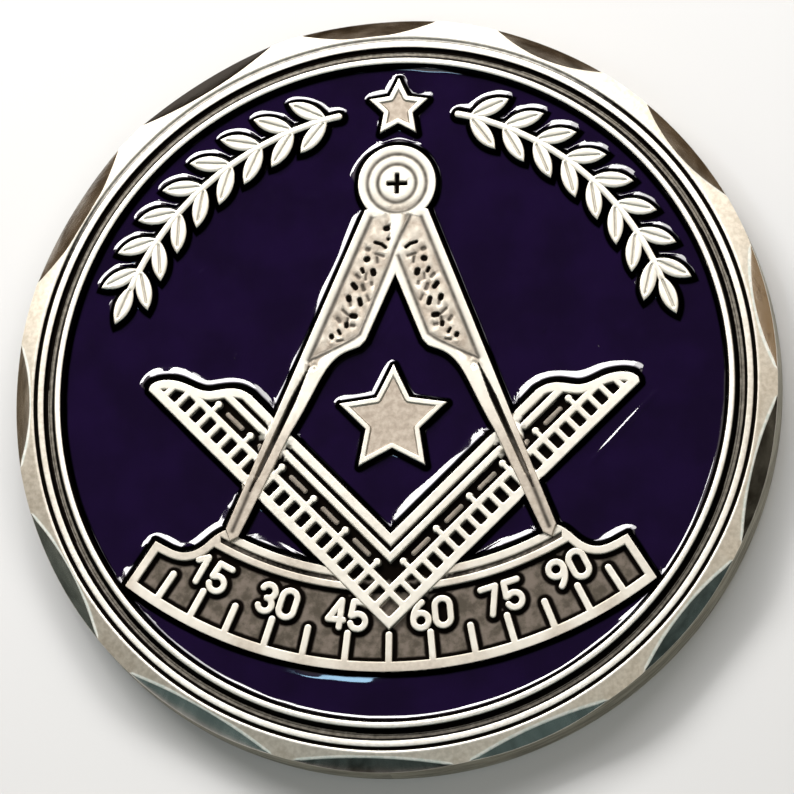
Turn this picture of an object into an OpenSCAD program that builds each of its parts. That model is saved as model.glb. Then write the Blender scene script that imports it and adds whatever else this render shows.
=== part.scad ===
// Struck challenge coin with a recessed enamelled face: square, compasses and quadrant.
// Millimetres. The coin lies on its back at z = 0, and the top of the design points along +Y.

/* [Coin] */
// Outer diameter
coin_d = 44.45; // [44.2:0.05:45.4]
// Thickness from the back to the crest of the inner ring
coin_h = 3.5; // [3.3:0.1:4.5]
// Depth of the recessed field below the inner ring
field_depth = 1; // [0.9:0.05:1.2]

/* [Rim] */
// Radius of the recessed field
field_r = 19.45; // [19.4:0.01:19.5]
// Depth of the groove between the two beads
groove_depth = 0.55; // [0.3:0.05:0.8]
// Added to the slope of every cut facet, in degrees
facet_lean = 0; // [-3:1:3]

/* [Emblem] */
// Width of an arm of the square
arm_w = 4; // [3.9:0.02:4.1]
// Spacing of the rungs on the square
rung_pitch = 0.889; // [0.86:0.001:0.9]
// Height of the figures on the quadrant
figure_h = 1.95; // [1.8:0.05:2]
// Radius to the points of the middle star
middle_star_r = 3.3; // [2.8:0.1:3.4]

/* [Sprays] */
// Number of leaf pairs on each spray
leaf_pairs = 8; // [6:1:9]
// Length of a leaf
leaf_len = 2.5; // [2:0.1:2.7]

/* [Enamel] */
// Depth of the enamel's surface below the inner ring
enamel_below = 0.5; // [0.4:0.05:0.6]
// Gap between enamel and metal
enamel_gap = 0.03; // [0.02:0.01:0.05]

/* [Hidden] */
$fn = 96;

silver = [0.72, 0.7, 0.66];
purple = [0.1, 0.05, 0.18];

coin_r = coin_d / 2;
floor_z = coin_h - field_depth;
enamel_z = coin_h - enamel_below;
sunk = 0.2; // how far raised work reaches into the metal below it
lap = 0.02; // how far a lower shape runs in under a higher one
over = 1; // how far a cutter passes its work

// Tops of the raised work, from the quadrant that lies lowest to the compasses that lie on it
channel_z = coin_h - 0.5;
dash_z = coin_h - 0.35;
quadrant_z = coin_h - 0.2;
square_z = coin_h - 0.12;
crease_z = coin_h - 0.25;
panel_z = coin_h - 0.12;
compass_z = coin_h - 0.03;

// Rim profile: radii, and drops below the crest of the inner ring
crest_in = field_r + 0.08;
crest_out = 19.84;
groove_in = 20.14;
groove_out = 20.26;
bead_in = 20.64;
bead_out = 20.93;
bead_drop = 0.28;
vee_r = 21;
vee_drop = 0.42;
lip_in = 21.08;
lip_out = 21.36;
lip_drop = 0.27;
girdle_drop = 0.64;
back_ring = [19.98, 20.6];
back_ring_depth = 0.28;
back_bevel = 0.5;
back_bevel_w = 0.6;
// Facets cut by hand, so they vary: degrees clockwise from the top of the design, radius of the
// inner edge, and degrees from the middle to either end
facets = [
    [23.4, 21.33, 8.8], [50, 21.35, 9.6], [77.6, 21.34, 10], [102.9, 21.36, 11.6], [128, 21.4, 10.8],
    [156.5, 21.5, 11.4], [182.3, 21.45, 12.3], [210.3, 21.34, 12.7], [241.2, 21.22, 11.2],
    [269, 21.2, 9.6], [300, 21.16, 12], [328.5, 21.26, 11.5], [355, 21.18, 10.5]
];

// Square. A span runs across the arm, from and to these distances from its inner edge.
square_foot = 14.05;
square_inner = square_foot - arm_w * sqrt(2);
square_tip = 0.27;
end_border = 0.55;
first_channel = [0.54, 0.8];
wide_channel = [1.22, 2.16];
dash_span = [1.62, 1.86];
cell_span = [2.56, 3.44];
stub_span = [1.62, 2.2];
// Places along the arm are measured from the inner corner
first_rung = -2.42;
rung_w = 0.34;
cell_count = 21;
rungs_per_stub = 3;
stub_count = 6;
dash_len = 1.4;
corner_cell_y = -12.72;
corner_cell_w = 0.86;

// Compasses
hub_y = 12.3;
hub_r = 2.28;
hub_rings = [1.1, 1.67];
slot_len = 1.2;
slot_w = 0.24;
crease_w = 0.14;
leg_neck = [1.84, 10.75];
leg_foot = [9.6, -8];
leg_tip = [9.35, -8.75];
leg_inner = [5.95, -2.45];
leg_heel = [8.85, -8.5];
leg_angle = atan2(leg_foot[0] - leg_neck[0], leg_neck[1] - leg_foot[1]);
// Groove down the lower leg: distances along the outer edge from the neck, and in from that edge
groove_top = 9.9;
groove_end = 18.6;
groove_at_top = [0.45, 0.9];
groove_at_end = [0.33, 0.46];
panel_in = 0.57;
panel_end = 9.75;

// Quadrant: radii about its own centre
quadrant_y = 8.7;
quadrant_r = 25.24;
quadrant_band = 24.62;
upper_line = [19.3, 19.8];
lower_line = [20.08, 20.5];
cheek_w = 0.5;
tick_angles = [0, 6, 11.8, 17.2, 22.9, 28.1, 33.2];
tick_in = 22.85;
tick_w = 0.4;
figure_r = 21.95;
figure_w = 1.25;
figure_shift = 0.52; // from the middle of a number to a figure's, as a part of figure_w
stroke = 0.37;
// Numbers on the quadrant: tens, units and angle from its middle
numbers = [[1, 5, -28.6], [3, 0, -17.3], [4, 5, -6.4], [6, 0, 6.4], [7, 5, 17.3], [9, 0, 28.1]];

// Star in the middle and star over the hub
middle_star_y = -1.75;
star_border = 0.3;
star_waist = 0.5;
top_star_y = 16.8;
top_star_r = 1.8;

// Sprays: angles are degrees clockwise from the top
spray_r = 16.75;
spray_from = 12;
spray_to = 68;
stem_w = 0.4;
leaf_w = 0.95;
leaf_turn = 38;

// Outlines that run under the metal and tell the enamel pools apart
middle_cover = [[0, 9], [-9.2, -8.2], [-9, -9.2], [-2, -12], [2, -12], [9, -9.2], [9.2, -8.2]];
centre_cover = [[0, 8], [6.1, -2.5], [0, -9], [-6.1, -2.5]];
cell_cover = [[8, -5.5], [9.3, -8.3], [3, -12], [3, -10]];

// Outward normal of the edge from a to b of a counter-clockwise outline
function normal(a, b) = [b[1] - a[1], a[0] - b[0]] / norm(b - a);

// The outline moved outward by g, with sharp corners
function grown(pts, g) = [
    for (i = [0:len(pts) - 1])
    let (
        n = len(pts),
        before = normal(pts[(i + n - 1) % n], pts[i]),
        after = normal(pts[i], pts[(i + 1) % n])
    )
    pts[i] + g * (before + after) / (1 + before * after)
];

// The mirror image in x of an outline, in the order that keeps it counter-clockwise
function mirrored(pts) = [for (i = [len(pts) - 1:-1:0]) [-pts[i][0], pts[i][1]]];

// Points along a cubic curve, without its last one
function curve(a, b, c, d, n) = [
    for (i = [0:n - 1])
    let (t = i / n, u = 1 - t)
    u * u * u * a + 3 * u * u * t * b + 3 * u * t * t * c + t * t * t * d
];

function polar(r, a) = [r * cos(a), r * sin(a)];

// Drop of the uncut rim at a radius, flat on the lip and falling from there to the side
function drop_at(r) = lip_drop + max(0, r - lip_out) * (girdle_drop - lip_drop) / (coin_r - lip_out);

// Slope of a facet, so that it runs out at the side where its ends are
function facet_slope(f) = facet_lean + atan((girdle_drop - drop_at(f[1])) / (coin_r * cos(f[2]) - f[1]));

// Right half of the square, from its tip over the curved end to the inner edge
function square_end() = concat(
    [[square_foot + square_tip, square_tip]],
    curve([14.28, 0.5], [14, 0.98], [13, 1.02], [12.2, 0.68], 5),
    curve([12.2, 0.68], [11.4, 0.32], [11.1, 0.1], [10.4, 0.22], 4),
    curve([10.4, 0.22], [9.7, 0.32], [9.1, 0.5], [8.3, 8.3 - square_inner], 4),
    [[8.3, 8.3 - square_inner]]
);
function square_outline() = concat(
    [[0, -square_foot]], square_end(), [[0, -square_inner]], mirrored(square_end())
);

// Right leg: straight outer edge, tip on the quadrant, and an inner edge with a knee and a hollow
function leg_outline() = concat(
    [leg_tip, leg_foot, leg_neck, [-0.2, 11.2], [-0.2, 7.35], [0, 6.9], [1.65, 3], [2, 2.62]],
    curve([2.6, 2.4], [4.1, 1.85], [4.3, 0.3], leg_inner, 6),
    [leg_inner, leg_heel]
);

// Point on the right leg: t along its outer edge from the neck, d in from that edge
function leg_point(t, d) = leg_neck
    + t * [sin(leg_angle), -cos(leg_angle)] - d * [cos(leg_angle), sin(leg_angle)];

// Wide part of the right leg inside its border. The points of top close it at the hub.
function panel_outline(top) = concat(
    [leg_point(0.25, panel_in)],
    top,
    curve([2.05, 3.3], [2.7, 2.75], [3.9, 2.3], leg_point(panel_end, panel_in + 0.1), 4),
    [leg_point(panel_end, panel_in + 0.1)]
);
right_panel_top = [[0.75, 10.35], [0.02, 8.05]];
left_panel_top = [[-0.78, 10.35], [0, 8.5], [0.3, 7.7]];
// The crease between the two panels, where the left leg lies over the right one
neck_crease = [[0.72, 10.5], [-0.08, 8.42], [0.14, 8.34], [0.92, 10.44]];

// End of the quadrant: the straight cheek, then the curved top that runs into the leg's foot
function quadrant_end() = concat(
    [[15.45, -11.2]],
    curve([13.72, -8.6], [12.7, -9.15], [12.2, -9.55], [11.3, -9.15], 4),
    curve([11.3, -9.15], [10.6, -8.8], [10.5, -8.35], leg_foot, 4),
    [leg_foot]
);
function quadrant_cover() = concat(
    quadrant_end(), mirrored(quadrant_end()), [[-14, -18], [14, -18]]
);

module raised(top, bottom = floor_z - sunk) {
    translate([0, 0, bottom]) linear_extrude(top - bottom) children();
}

module cutter(bottom) {
    translate([0, 0, bottom]) linear_extrude(coin_h - bottom + over) children();
}

module both_sides() {
    children();
    mirror([1, 0, 0]) children();
}

module lens(length, width, g = 0) {
    r = (length * length + width * width) / (4 * width);
    intersection() {
        translate([length / 2, r - width / 2]) circle(r + g);
        translate([length / 2, width / 2 - r]) circle(r + g);
    }
}

module star_shape(r, g = 0) {
    points = [for (i = [0:9]) polar(i % 2 == 0 ? r : r * star_waist, 90 + 36 * i)];
    polygon(grown(points, g));
}

module ring_shape(span) {
    difference() {
        circle(span[1]);
        circle(span[0]);
    }
}

module bar(a, b, w = stroke) {
    side = w / 2 * normal(a, b);
    polygon([a - side, b - side, b + side, a + side]);
    translate(a) circle(w / 2);
    translate(b) circle(w / 2);
}

// Round stroke of radius r about c, from angle a0 to a1, with round ends
module bow(c, r, a0, a1) {
    open = 360 - (a1 - a0);
    translate(c) difference() {
        ring_shape([r - stroke / 2, r + stroke / 2]);
        if (open > 0)
            polygon(concat([[0, 0]], [for (k = [0:4]) polar(3 * r, a1 + open * k / 4)]));
    }
    if (open > 0)
        for (a = [a0, a1]) translate(c + polar(r, a)) circle(stroke / 2);
}

// One figure in plain strokes, in a box figure_w wide and figure_h high about its centre
module figure(n) {
    top = (figure_h - stroke) / 2;
    side = (figure_w - stroke) / 2;
    if (n == 0) {
        bow([0, top - side], side, 0, 180);
        bow([0, side - top], side, 180, 360);
        bar([side, top - side], [side, side - top]);
        bar([-side, top - side], [-side, side - top]);
    }
    if (n == 1) {
        bar([0.15, top], [0.15, -top]);
        bar([0.15, top], [-0.3, top - 0.4]);
    }
    if (n == 3) {
        bow([0, top / 2], top / 2, -90, 160);
        bow([0, -top / 2], top / 2, -160, 90);
    }
    if (n == 4) {
        bar([0.25, top], [0.25, -top]);
        bar([0.25, top], [-side, -0.35]);
        bar([-side, -0.35], [side, -0.35]);
    }
    if (n == 5) {
        bow([0, side - top], side, -160, 130);
        bar([-0.35, top], [-0.42, -0.05]);
        bar([-0.35, top], [side, top]);
    }
    if (n == 6 || n == 9)
        rotate(n == 9 ? 180 : 0) {
            bow([0, side - top], side, 0, 360);
            bow([top, side - top], top + side, 122, 180);
        }
    if (n == 7) {
        bar([-side, top], [side, top]);
        bar([side, top], [-0.15, -top]);
    }
}

module number(tens, units, angle) {
    rotate(angle) translate([0, -figure_r]) {
        translate([-figure_shift * figure_w, 0]) figure(tens);
        translate([figure_shift * figure_w, 0]) figure(units);
    }
}

// Both arms of the square between two distances from the inner edge
module arms_span(span) {
    near = square_inner + span[0] * sqrt(2);
    far = square_inner + span[1] * sqrt(2);
    reach = square_foot + 2;
    polygon([
        [0, -far], [reach, reach - far], [reach, reach - near],
        [0, -near], [-reach, reach - near], [-reach, reach - far]
    ]);
}

// A short bar on both arms: span across the arm, middle and length along it
module arm_mark(span, middle, length) {
    both_sides() translate([0, -square_inner]) rotate(45)
        translate([middle - length / 2, -span[1]]) square([length, span[1] - span[0]]);
}

module square_shape(g = 0) {
    polygon(grown(square_outline(), g));
}

module leg_shape(g = 0) {
    polygon(grown(leg_outline(), g));
}

module hub_shape(g = 0) {
    translate([0, hub_y]) circle(hub_r + g);
}

module quadrant_shape(g = 0) {
    difference() {
        intersection() {
            translate([0, quadrant_y]) circle(quadrant_r + g);
            polygon(grown(quadrant_cover(), g));
        }
        translate([0, quadrant_y]) circle(upper_line[0] - g);
    }
}

module middle_star_shape(g = 0) {
    translate([0, middle_star_y]) star_shape(middle_star_r, g);
}

module top_star_shape(g = 0) {
    translate([0, top_star_y]) star_shape(top_star_r, g);
}

// Curved stem of the right spray
module stem_shape(g = 0) {
    rest = 360 - (spray_to - spray_from);
    difference() {
        ring_shape([spray_r - stem_w / 2 - g, spray_r + stem_w / 2 + g]);
        rotate(90 - spray_from) polygon(concat([[0, 0]], [for (k = [0:5]) polar(coin_d, rest * k / 5)]));
    }
}

// Places its child on the stem, with its x axis pointing along the spray
module on_stem(angle) {
    rotate(-angle) translate([0, spray_r]) children();
}

module leaves_shape(g = 0) {
    step = (spray_to - spray_from) / leaf_pairs;
    for (i = [0:leaf_pairs - 1], side = [-1, 1])
        on_stem(spray_from + step * (i + 0.35)) rotate(side * leaf_turn) lens(leaf_len, leaf_w, g);
    on_stem(spray_to - 1) lens(leaf_len, leaf_w, g);
}

module struck_blank() {
    rotate_extrude() polygon([
        [0, 0],
        [coin_r - back_bevel_w, 0],
        [coin_r, back_bevel],
        [coin_r, coin_h - girdle_drop],
        [lip_out, coin_h - lip_drop],
        [lip_in, coin_h - lip_drop],
        [vee_r, coin_h - vee_drop],
        [bead_out, coin_h - bead_drop],
        [bead_in, coin_h - bead_drop],
        [groove_out, coin_h - groove_depth],
        [groove_in, coin_h - groove_depth],
        [crest_out, coin_h],
        [crest_in, coin_h],
        [field_r, floor_z],
        [0, floor_z]
    ]);
}

module facet_cuts() {
    reach = 4;
    wide = 16;
    for (f = facets)
        rotate(90 - f[0]) translate([f[1], 0, coin_h - drop_at(f[1])])
            rotate([0, facet_slope(f), 0]) translate([-reach / 2, -wide / 2, 0])
                cube([reach, wide, reach]);
}

module back_groove() {
    translate([0, 0, -over]) linear_extrude(over + back_ring_depth) ring_shape(back_ring);
}

// The square, with its channels, the cells between the rungs, the stubs and the dashes
module square_work() {
    difference() {
        raised(square_z) square_shape();
        for (span = [first_channel, wide_channel])
            cutter(channel_z) intersection() {
                arms_span(span);
                translate([0, -end_border]) square_shape();
            }
        cutter(channel_z) intersection() {
            for (i = [0:cell_count - 1])
                arm_mark(cell_span, first_rung + (i + 0.5) * rung_pitch, rung_pitch - rung_w);
            translate([0, -end_border]) square_shape();
        }
        cutter(channel_z) translate([0, corner_cell_y]) rotate(45)
            square(corner_cell_w, center = true);
    }
    for (i = [0:stub_count - 1]) {
        middle = first_rung + (rungs_per_stub * i + 2) * rung_pitch;
        raised(square_z, channel_z - sunk) arm_mark(stub_span, middle, rung_w);
        if (i > 0)
            raised(dash_z, channel_z - sunk)
                arm_mark(dash_span, middle - rungs_per_stub * rung_pitch / 2, dash_len);
    }
}

// The quadrant, with its pocket, ticks and figures
module quadrant_work() {
    difference() {
        union() {
            difference() {
                raised(quadrant_z) quadrant_shape();
                cutter(channel_z) intersection() {
                    translate([0, quadrant_y]) ring_shape([lower_line[1], quadrant_band]);
                    polygon(grown(quadrant_cover(), -cheek_w));
                }
                cutter(channel_z) intersection() {
                    translate([0, quadrant_y]) ring_shape([upper_line[1], lower_line[0]]);
                    translate([-leg_foot[0], -coin_r]) square([2 * leg_foot[0], coin_r]);
                }
            }
            raised(quadrant_z, channel_z - sunk) {
                both_sides() translate([0, quadrant_y]) for (a = tick_angles)
                    rotate(a) bar([0, -tick_in - tick_w / 2], [0, -quadrant_band - lap], tick_w);
                translate([0, quadrant_y]) for (n = numbers) number(n[0], n[1], n[2]);
            }
        }
        cutter(floor_z - sunk - over) square_shape(-lap);
    }
}

// The compasses: both legs, with creases along the lower part and a sunk panel above, and the hub
module compasses_blank() {
    both_sides() raised(compass_z) leg_shape();
    raised(compass_z) hub_shape();
}

module compasses_cuts() {
    both_sides() cutter(crease_z) polygon([
        leg_point(groove_top, groove_at_top[0]), leg_point(groove_top, groove_at_top[1]),
        leg_point(groove_end, groove_at_end[1]), leg_point(groove_end, groove_at_end[0])
    ]);
    cutter(panel_z) polygon(panel_outline(right_panel_top));
    cutter(panel_z) polygon(mirrored(panel_outline(left_panel_top)));
    cutter(crease_z) polygon(neck_crease);
    for (r = hub_rings)
        cutter(crease_z) translate([0, hub_y]) ring_shape([r - crease_w / 2, r + crease_w / 2]);
    cutter(crease_z) translate([0, hub_y]) {
        square([slot_len, slot_w], center = true);
        square([slot_w, slot_len], center = true);
    }
}

module ornaments() {
    difference() {
        union() {
            raised(compass_z) middle_star_shape();
            raised(compass_z) top_star_shape();
            both_sides() raised(compass_z) {
                stem_shape();
                leaves_shape();
            }
        }
        cutter(panel_z) middle_star_shape(-star_border);
        cutter(panel_z) top_star_shape(-star_border);
    }
}

module coin_body() {
    color(silver) difference() {
        union() {
            struck_blank();
            quadrant_work();
            square_work();
            compasses_blank();
            ornaments();
        }
        compasses_cuts();
        facet_cuts();
        back_groove();
    }
}

module enamel_pool() {
    translate([0, 0, floor_z + enamel_gap]) linear_extrude(enamel_z - floor_z - enamel_gap)
        children();
}

module field_enamel() {
    color(purple) enamel_pool() difference() {
        circle(field_r - enamel_gap);
        hub_shape(enamel_gap);
        both_sides() leg_shape(enamel_gap);
        square_shape(enamel_gap);
        quadrant_shape(enamel_gap);
        polygon(middle_cover);
        top_star_shape(enamel_gap);
        both_sides() {
            stem_shape(enamel_gap);
            leaves_shape(enamel_gap);
        }
    }
}

module centre_enamel() {
    color(purple) enamel_pool() difference() {
        polygon(centre_cover);
        both_sides() leg_shape(enamel_gap);
        square_shape(enamel_gap);
        middle_star_shape(enamel_gap);
    }
}

module cell_enamel() {
    enamel_pool() difference() {
        polygon(cell_cover);
        leg_shape(enamel_gap);
        square_shape(enamel_gap);
        quadrant_shape(enamel_gap);
    }
}

module left_cell_enamel() {
    color(purple) mirror([1, 0, 0]) cell_enamel();
}

module right_cell_enamel() {
    color(purple) cell_enamel();
}

coin_body();
field_enamel();
centre_enamel();
left_cell_enamel();
right_cell_enamel();
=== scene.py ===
"""Looks of a struck challenge coin with enamelled recesses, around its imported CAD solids.

The relief is worked out in millimetres as distance fields on a fine grid, contoured, and meshed along
those contours, so edges stay clean with few faces. Meshes are written in metres, in the CAD's frame.
"""
import math

import bpy
import numpy as np
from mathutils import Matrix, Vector
from mathutils.geometry import delaunay_2d_cdt


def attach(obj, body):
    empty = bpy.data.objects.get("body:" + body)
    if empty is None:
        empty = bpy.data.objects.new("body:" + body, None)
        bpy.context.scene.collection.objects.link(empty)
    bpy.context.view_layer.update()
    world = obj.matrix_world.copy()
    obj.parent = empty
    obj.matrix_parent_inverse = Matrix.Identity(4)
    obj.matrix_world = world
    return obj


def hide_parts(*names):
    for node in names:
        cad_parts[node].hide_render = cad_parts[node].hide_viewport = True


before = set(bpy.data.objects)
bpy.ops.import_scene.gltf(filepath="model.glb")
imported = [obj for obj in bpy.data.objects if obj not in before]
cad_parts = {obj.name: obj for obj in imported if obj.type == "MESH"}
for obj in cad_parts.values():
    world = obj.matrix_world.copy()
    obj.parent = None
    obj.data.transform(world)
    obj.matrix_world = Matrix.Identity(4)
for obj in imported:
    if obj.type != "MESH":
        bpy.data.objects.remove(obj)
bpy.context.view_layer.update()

MM = 0.001
F32 = np.float32

# Sizes shared with the CAD source, in millimetres. Heights are below the crest of the inner ring.
COIN_R = 22.225
COIN_H = 3.5
FIELD_R = 19.45
FLOOR = -1.0
ENAMEL = -0.5
CHANNEL = -0.5
DASH_TOP = -0.35
QUADRANT_TOP = -0.2
SQUARE_TOP = -0.12
COMPASS_TOP = -0.03

FOOT = 14.05
ARM_W = 4.0
INNER = FOOT - ARM_W * math.sqrt(2)
END_BORDER = 0.55
CHANNELS = ((0.54, 0.8), (1.22, 2.16))
CELL_SPAN = (2.56, 3.44)
FIRST_RUNG = -2.42
PITCH = 0.889
RUNG_W = 0.34
CELLS = 21
STUBS = 6
STUB_DOT = (1.72, 0.21)  # how far across the arm, and its radius
STUB_NECK = (2.0, 0.3, 0.14)  # how far across the arm, half its length and half its width
DASH = (1.74, 0.7, 0.13)  # the same of a dash, whose length runs along the arm
CORNER_CELL_Y = -12.72
CORNER_CELL_W = 0.86

HUB_Y = 12.3
HUB_R = 2.28
NECK = np.array([1.84, 10.75])
LEG_FOOT = np.array([9.6, -8.0])
LEG_ANGLE = math.atan2(LEG_FOOT[0] - NECK[0], NECK[1] - LEG_FOOT[1])
HUB_RINGS = (1.12, 1.72)
HUB_CROSS = (0.6, 0.12)
GROOVE_FROM = 9.75
GROOVE_LEN = 8.0
GROOVE_STEPS = 24

QUADRANT_Y = 8.7
QUADRANT_R = 25.24
BAND_R = 24.62
UPPER_LINE = (19.3, 19.8)
LOWER_LINE = (20.08, 20.5)
CHEEK = 0.5
GAP_HALF = 9.9
TICKS = (0, 6, 11.8, 17.2, 22.9, 28.1, 33.2)
TICK_IN = 22.85
TICK_W = 0.4
FIGURE_R = 21.95
FIGURE_W = 1.25
FIGURE_H = 1.95
STROKE = 0.37
DIGIT_SHIFT = 0.52 * FIGURE_W
DIGIT_REACH = (1.7, 1.6)
NUMBERS = ((1, 5, -28.6), (3, 0, -17.3), (4, 5, -6.4), (6, 0, 6.4), (7, 5, 17.3), (9, 0, 28.1))

STAR_Y = -1.75
STAR_R = 3.3
STAR_WAIST = 0.5
STAR_BORDER = 0.3
TOP_STAR_Y = 16.8
TOP_STAR_R = 1.8

SPRAY_R = 16.75
SPRAY_FROM = 12.0
SPRAY_TO = 68.0
STEM_W = 0.4
LEAF_PAIRS = 8
LEAF_LEN = 2.5
LEAF_W = 0.95
LEAF_TURN = 38.0

# Rim: the flat lip round the outer edge, and the facets cut into it. A facet is degrees clockwise from the
# top, radius of its inner edge, degrees from its middle to either end, and its painted light: how light
# the cut is painted, standing in for the light it catches.
LIP_OUT = 21.25
LIP_Z = -0.27
GIRDLE_Z = -0.64
FACETS = (
    (23.4, 21.3, 8.8, 0.22), (50, 21.32, 9.6, 0.33), (77.6, 21.34, 10, 1.1), (102.9, 21.36, 11.6, 0.1),
    (128, 21.4, 10.8, 0.22), (156.5, 21.5, 11.4, 0.38), (182.3, 21.45, 12.3, 0.14),
    (210.3, 21.34, 12.7, 0.5), (241.2, 21.25, 11.2, 0.38), (269, 21.25, 9.6, 0.42),
    (300, 21.17, 12, 0.4), (328.5, 21.27, 11.5, -0.35), (355, 21.22, 10.5, 0.22),
)  # fmt: skip


# Grid and distance fields
CELL = 0.02
HALF = 19.6
COUNT = int(round(2 * HALF / CELL)) + 1
AXIS = np.linspace(-HALF, HALF, COUNT)
GX, GY = (a.astype(F32) for a in np.meshgrid(AXIS, AXIS))
GR = np.hypot(GX, GY)
FAR = 0.7


def window(x0, x1, y0, y1, reach=FAR):
    """Slices of the grid that cover a box and reach round it."""
    lo = lambda v: max(int(math.floor((v - reach + HALF) / CELL)), 0)
    hi = lambda v: min(int(math.ceil((v + reach + HALF) / CELL)) + 1, COUNT)
    return slice(lo(y0), hi(y1)), slice(lo(x0), hi(x1))


def polygon_field(points, reach=FAR):
    """Signed distance to a closed outline, negative inside, capped at reach."""
    pts = np.asarray(points, float)
    dist = np.full((COUNT, COUNT), reach, F32)
    flips = np.zeros((COUNT, COUNT + 1), bool)
    for (ax, ay), (bx, by) in zip(pts, np.roll(pts, -1, 0)):
        rows, cols = window(min(ax, bx), max(ax, bx), min(ay, by), max(ay, by), reach)
        x, y = GX[rows, cols] - F32(ax), GY[rows, cols] - F32(ay)
        ux, uy = bx - ax, by - ay
        size = ux * ux + uy * uy
        if size < 1e-12:
            continue
        t = np.clip((x * F32(ux) + y * F32(uy)) / F32(size), 0, 1)
        np.minimum(dist[rows, cols], np.hypot(x - t * F32(ux), y - t * F32(uy)), out=dist[rows, cols])
        first, last = sorted((ay, by))
        i = np.arange(int(math.ceil((first + HALF) / CELL)), int(math.ceil((last + HALF) / CELL)))
        i = i[(i >= 0) & (i < COUNT)]
        if len(i):
            at = ax + (AXIS[i] - ay) * ux / uy
            j = np.clip(np.ceil((at + HALF) / CELL).astype(int), 0, COUNT)
            flips[i, j] ^= True
    inside = np.logical_xor.accumulate(flips[:, :COUNT], axis=1)
    return np.where(inside, -dist, dist)


def empty_field():
    return np.full((COUNT, COUNT), FAR, F32)


def stamp(field, box, measure):
    """Adds to field, by union, the distance that measure gives for points in box and round it."""
    rows, cols = window(*box)
    np.minimum(field[rows, cols], measure(GX[rows, cols], GY[rows, cols]), out=field[rows, cols])


def nearest(x, y, a, b):
    """How far along the line from a to b its nearest point is, from 0 to 1, and the distance to it."""
    ux, uy = b[0] - a[0], b[1] - a[1]
    t = np.clip(((x - a[0]) * ux + (y - a[1]) * uy) / (ux * ux + uy * uy), 0, 1)
    return t, np.hypot(x - a[0] - t * ux, y - a[1] - t * uy)


def capsule(x, y, a, b, r):
    return nearest(x, y, a, b)[1] - r


def stroke(field, a, b, r):
    """Adds a round-ended line from a to b to field."""
    box = (min(a[0], b[0]), max(a[0], b[0]), min(a[1], b[1]), max(a[1], b[1]))
    stamp(field, box, lambda x, y: capsule(x, y, a, b, r))


def strip(v, a, b):
    """Distance to the strip where v is between a and b."""
    return np.abs(v - (a + b) / 2) - (b - a) / 2


def arc(x, y, c, r, a0, a1, w):
    """Distance to a round-ended stroke, w wide, along a circle from a0 to a1 degrees."""
    x, y = x - c[0], y - c[1]
    along = np.mod(np.degrees(np.arctan2(y, x)) - a0, 360)
    turns = [math.radians(a) for a in (a0, a1)]
    ends = [np.hypot(x - r * math.cos(a), y - r * math.sin(a)) for a in turns]
    return np.where(along <= a1 - a0, np.abs(np.hypot(x, y) - r), np.minimum(*ends)) - w / 2


def bearing(degrees):
    """Unit vector, degrees clockwise from the top."""
    return np.array([math.sin(math.radians(degrees)), math.cos(math.radians(degrees))])


def turned(x, y, degrees):
    """Coordinates in a frame that is itself turned counter-clockwise by degrees."""
    c, s = math.cos(math.radians(degrees)), math.sin(math.radians(degrees))
    return x * c + y * s, y * c - x * s


def mirrored(field):
    return field[:, ::-1]


def smoothstep(a, b, v):
    t = np.clip((v - a) / (b - a), 0, 1)
    return t * t * (3 - 2 * t)


def bell(v, width):
    return np.exp(-((v / width) ** 2))


def bezier(a, b, c, d, n):
    t = np.arange(n)[:, None] / n
    u = 1 - t
    a, b, c, d = (np.asarray(p, float) for p in (a, b, c, d))
    return u**3 * a + 3 * u * u * t * b + 3 * u * t * t * c + t**3 * d


def leg_point(t, d):
    s, c = math.sin(LEG_ANGLE), math.cos(LEG_ANGLE)
    return NECK + t * np.array([s, -c]) - d * np.array([c, s])


# Outlines
def square_outline(drop=0.0):
    tip = bezier([14.28, 0.5], [14, 0.98], [13, 1.02], [12.2, 0.68], 14)
    neck = bezier([12.2, 0.68], [11.4, 0.32], [11.1, 0.1], [10.4, 0.22], 10)
    waist = bezier([10.4, 0.22], [9.7, 0.32], [9.1, 0.5], [8.3, 8.3 - INNER], 10)
    end = np.vstack([[[FOOT + 0.27, 0.27]], tip, neck, waist, [[8.3, 8.3 - INNER]]])
    return np.vstack([[[0, -FOOT]], end, [[0, -INNER]], end[::-1] * [-1, 1]]) - [0, drop]


def leg_outline():
    upper = [[9.35, -8.75], LEG_FOOT, NECK, [-0.2, 11.2], [-0.2, 7.35], [0, 6.9], [1.65, 3], [2, 2.62]]
    curve = bezier([2.6, 2.4], [4.1, 1.85], [4.3, 0.3], [5.95, -2.45], 16)
    return np.vstack([upper, curve, [[5.95, -2.45], [8.85, -8.5]]])


def panel_line(top):
    """Crease round the wide part of a leg, from the hub down and back up."""
    corner = leg_point(9.4, 0.52)
    curve = bezier(corner, [3.9, 2.35], [2.7, 2.8], [2.0, 3.35], 12)
    return np.vstack([[leg_point(0.3, 0.52), corner], curve, [[2.0, 3.35]], top])


def quadrant_cover():
    cheek = bezier([13.72, -8.6], [12.7, -9.15], [12.2, -9.55], [11.3, -9.15], 12)
    shoulder = bezier([11.3, -9.15], [10.6, -8.8], [10.5, -8.35], LEG_FOOT, 10)
    end = np.vstack([[[15.45, -11.2]], cheek, shoulder, [LEG_FOOT]])
    return np.vstack([end, end[::-1] * [-1, 1], [[-14, -18], [14, -18]]])


def quadrant_point(r, degrees):
    """A point at radius r from the quadrant's centre, degrees from straight down."""
    return np.array([0, QUADRANT_Y]) + r * bearing(degrees) * [1, -1]


def star(r, y):
    a = np.radians(90 + 36 * np.arange(10))
    s = np.where(np.arange(10) % 2 == 0, r, r * STAR_WAIST)
    return np.stack([s * np.cos(a), y + s * np.sin(a)], 1)


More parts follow.
